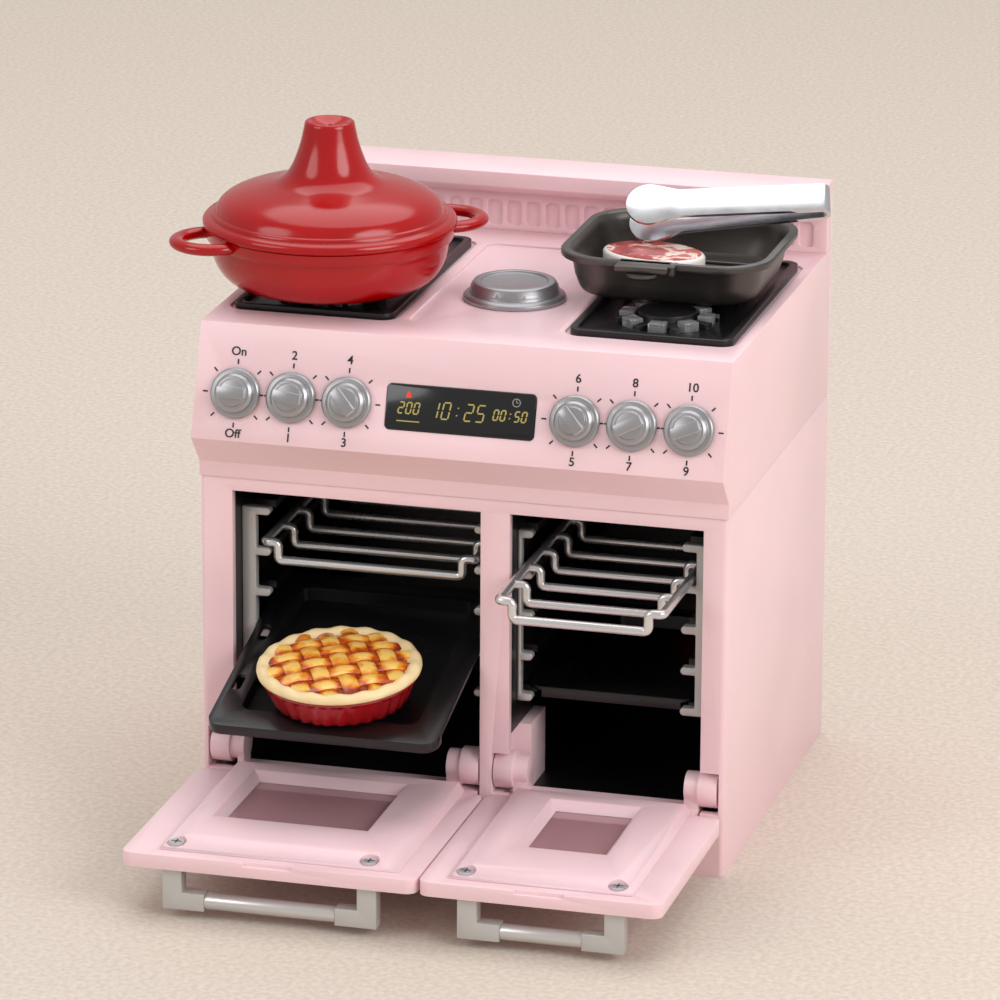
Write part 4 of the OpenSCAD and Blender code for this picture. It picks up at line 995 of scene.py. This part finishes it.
def makeRack(node, name):
    # cross bars that dip between the rails, the front one carried back along both sides
    low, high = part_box(node)
    wire, bar = rack["wire"], rack["bar"]
    edge = wire + rack["play"]
    left, right = low.x / mm + edge, high.x / mm - edge
    front, back = low.y / mm + edge, high.y / mm - rack["play"]
    top = high.z / mm - wire
    bottom = top - rack["drop"]
    innerLeft, innerRight = left + rack["crank"], right - rack["crank"]
    run = [(left, top), (innerLeft, top), (innerLeft, bottom), (innerRight, bottom),
           (innerRight, top), (right, top)]
    pieces = []
    for i in range(rack["bars"]):
        y = front + i * rack["pitch"]
        points = [(x, y, z) for x, z in run]
        if i == 0:
            points = [(left, back, top)] + points + [(right, back, top)]
        pieces.append(rod(points, wire if i == 0 else bar, rack["bend"]))
    body = smooth(joined(pieces), angle=60)
    finished(body, name, satinChrome, bodyOf[node], [node])


makeRack("left_rack", "leftRack")
makeRack("right_rack", "rightRack")

# the other mouldings, with the width of their rounded edges
# rails: grey silver paint, duller than the racks on them
railSilver = plastic("railSilver", "#BDBBB8", 0.38, bump=0.04, metallic=0.35, coat=0.2)
for node, name, material, width in (
        ("left_oven_outer_rail", "leftOuterRail", railSilver, 0.25),
        ("left_oven_inner_rail", "leftInnerRail", railSilver, 0.25),
        ("right_oven_inner_rail", "rightInnerRail", railSilver, 0.25),
        ("right_oven_outer_rail", "rightOuterRail", railSilver, 0.25),
        ("left_tray", "leftTray", blackTray, 0.3), ("right_tray", "rightTray", blackTray, 0.3),
        ("left_burner_plate", "leftBurnerPlate", blackAbs, 0.3),
        ("right_burner_plate", "rightBurnerPlate", blackAbs, 0.3),
        ("left_handle_brackets", "leftBrackets", bracketPaint, 0.8),
        ("right_handle_brackets", "rightBrackets", bracketPaint, 0.8),
        ("left_handle_bar", "leftBar", barSkin, 0.2),
        ("right_handle_bar", "rightBar", barSkin, 0.2),
        ("centre_hotplate", "centreHotplate", silverPaint, 0.15),
        ("left_burner_lens", "leftLens", clearStyrene, 0.25),
        ("right_burner_lens", "rightLens", clearStyrene, 0.25),
        ("display_window", "displayWindow", displayBlack, 0.12)):
    moulded(node, name, material, width)

# a dark cross laid on each of a door's two screw heads: painted shade where its cross recess is
# recesses: a matt dark grey, painted shade that reads as depth
recessDark = plastic("recessShadow", "#3A3A3D", 0.6, bump=0.0)
screwHead = {"radius": 1.7, "cross": 1.3, "line": 0.36, "thick": 0.08}


def makeCrosses(node, body):
    low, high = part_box(node)
    head, line, thick = screwHead["radius"], screwHead["line"], screwHead["thick"]
    long = head * screwHead["cross"]
    y = (low.y + high.y) / 2 / mm
    bars = []
    for x in (low.x / mm + head, high.x / mm - head):
        for size in ((long, line, thick), (line, long, thick)):
            bars.append(block((x, y, high.z / mm), size))
    finished(joined(bars), body + "Crosses", recessDark, body)


makeCrosses("left_door_screws", "left_door")
makeCrosses("right_door_screws", "right_door")

# pieces inside the case
# board: green lacquer with a clear shine
circuitGreen = plastic("circuitGreen", "#1F5A38", 0.35, coat=0.4)
# cells: a gold foil wrapper under a clear sleeve
cellGold = plastic("cellWrapper", "#A97C2C", 0.3, coat=0.4, metallic=0.5)
# speaker: black paper, matt and fibrous
speakerGrey = plastic("speakerPaper", "#2B2A2D", 0.8, bump=0.3)
# lamps: a low red glow in the dark of the ovens
lampRed = glowing("redLamp", "#C81A14", 0.4)
for node, material in (("circuit_board", circuitGreen), ("battery_cells", cellGold),
                       ("speaker", speakerGrey), ("oven_lamps", lampRed)):
    painted(frame["nodes"][node], material)
print("racks and the rest made")
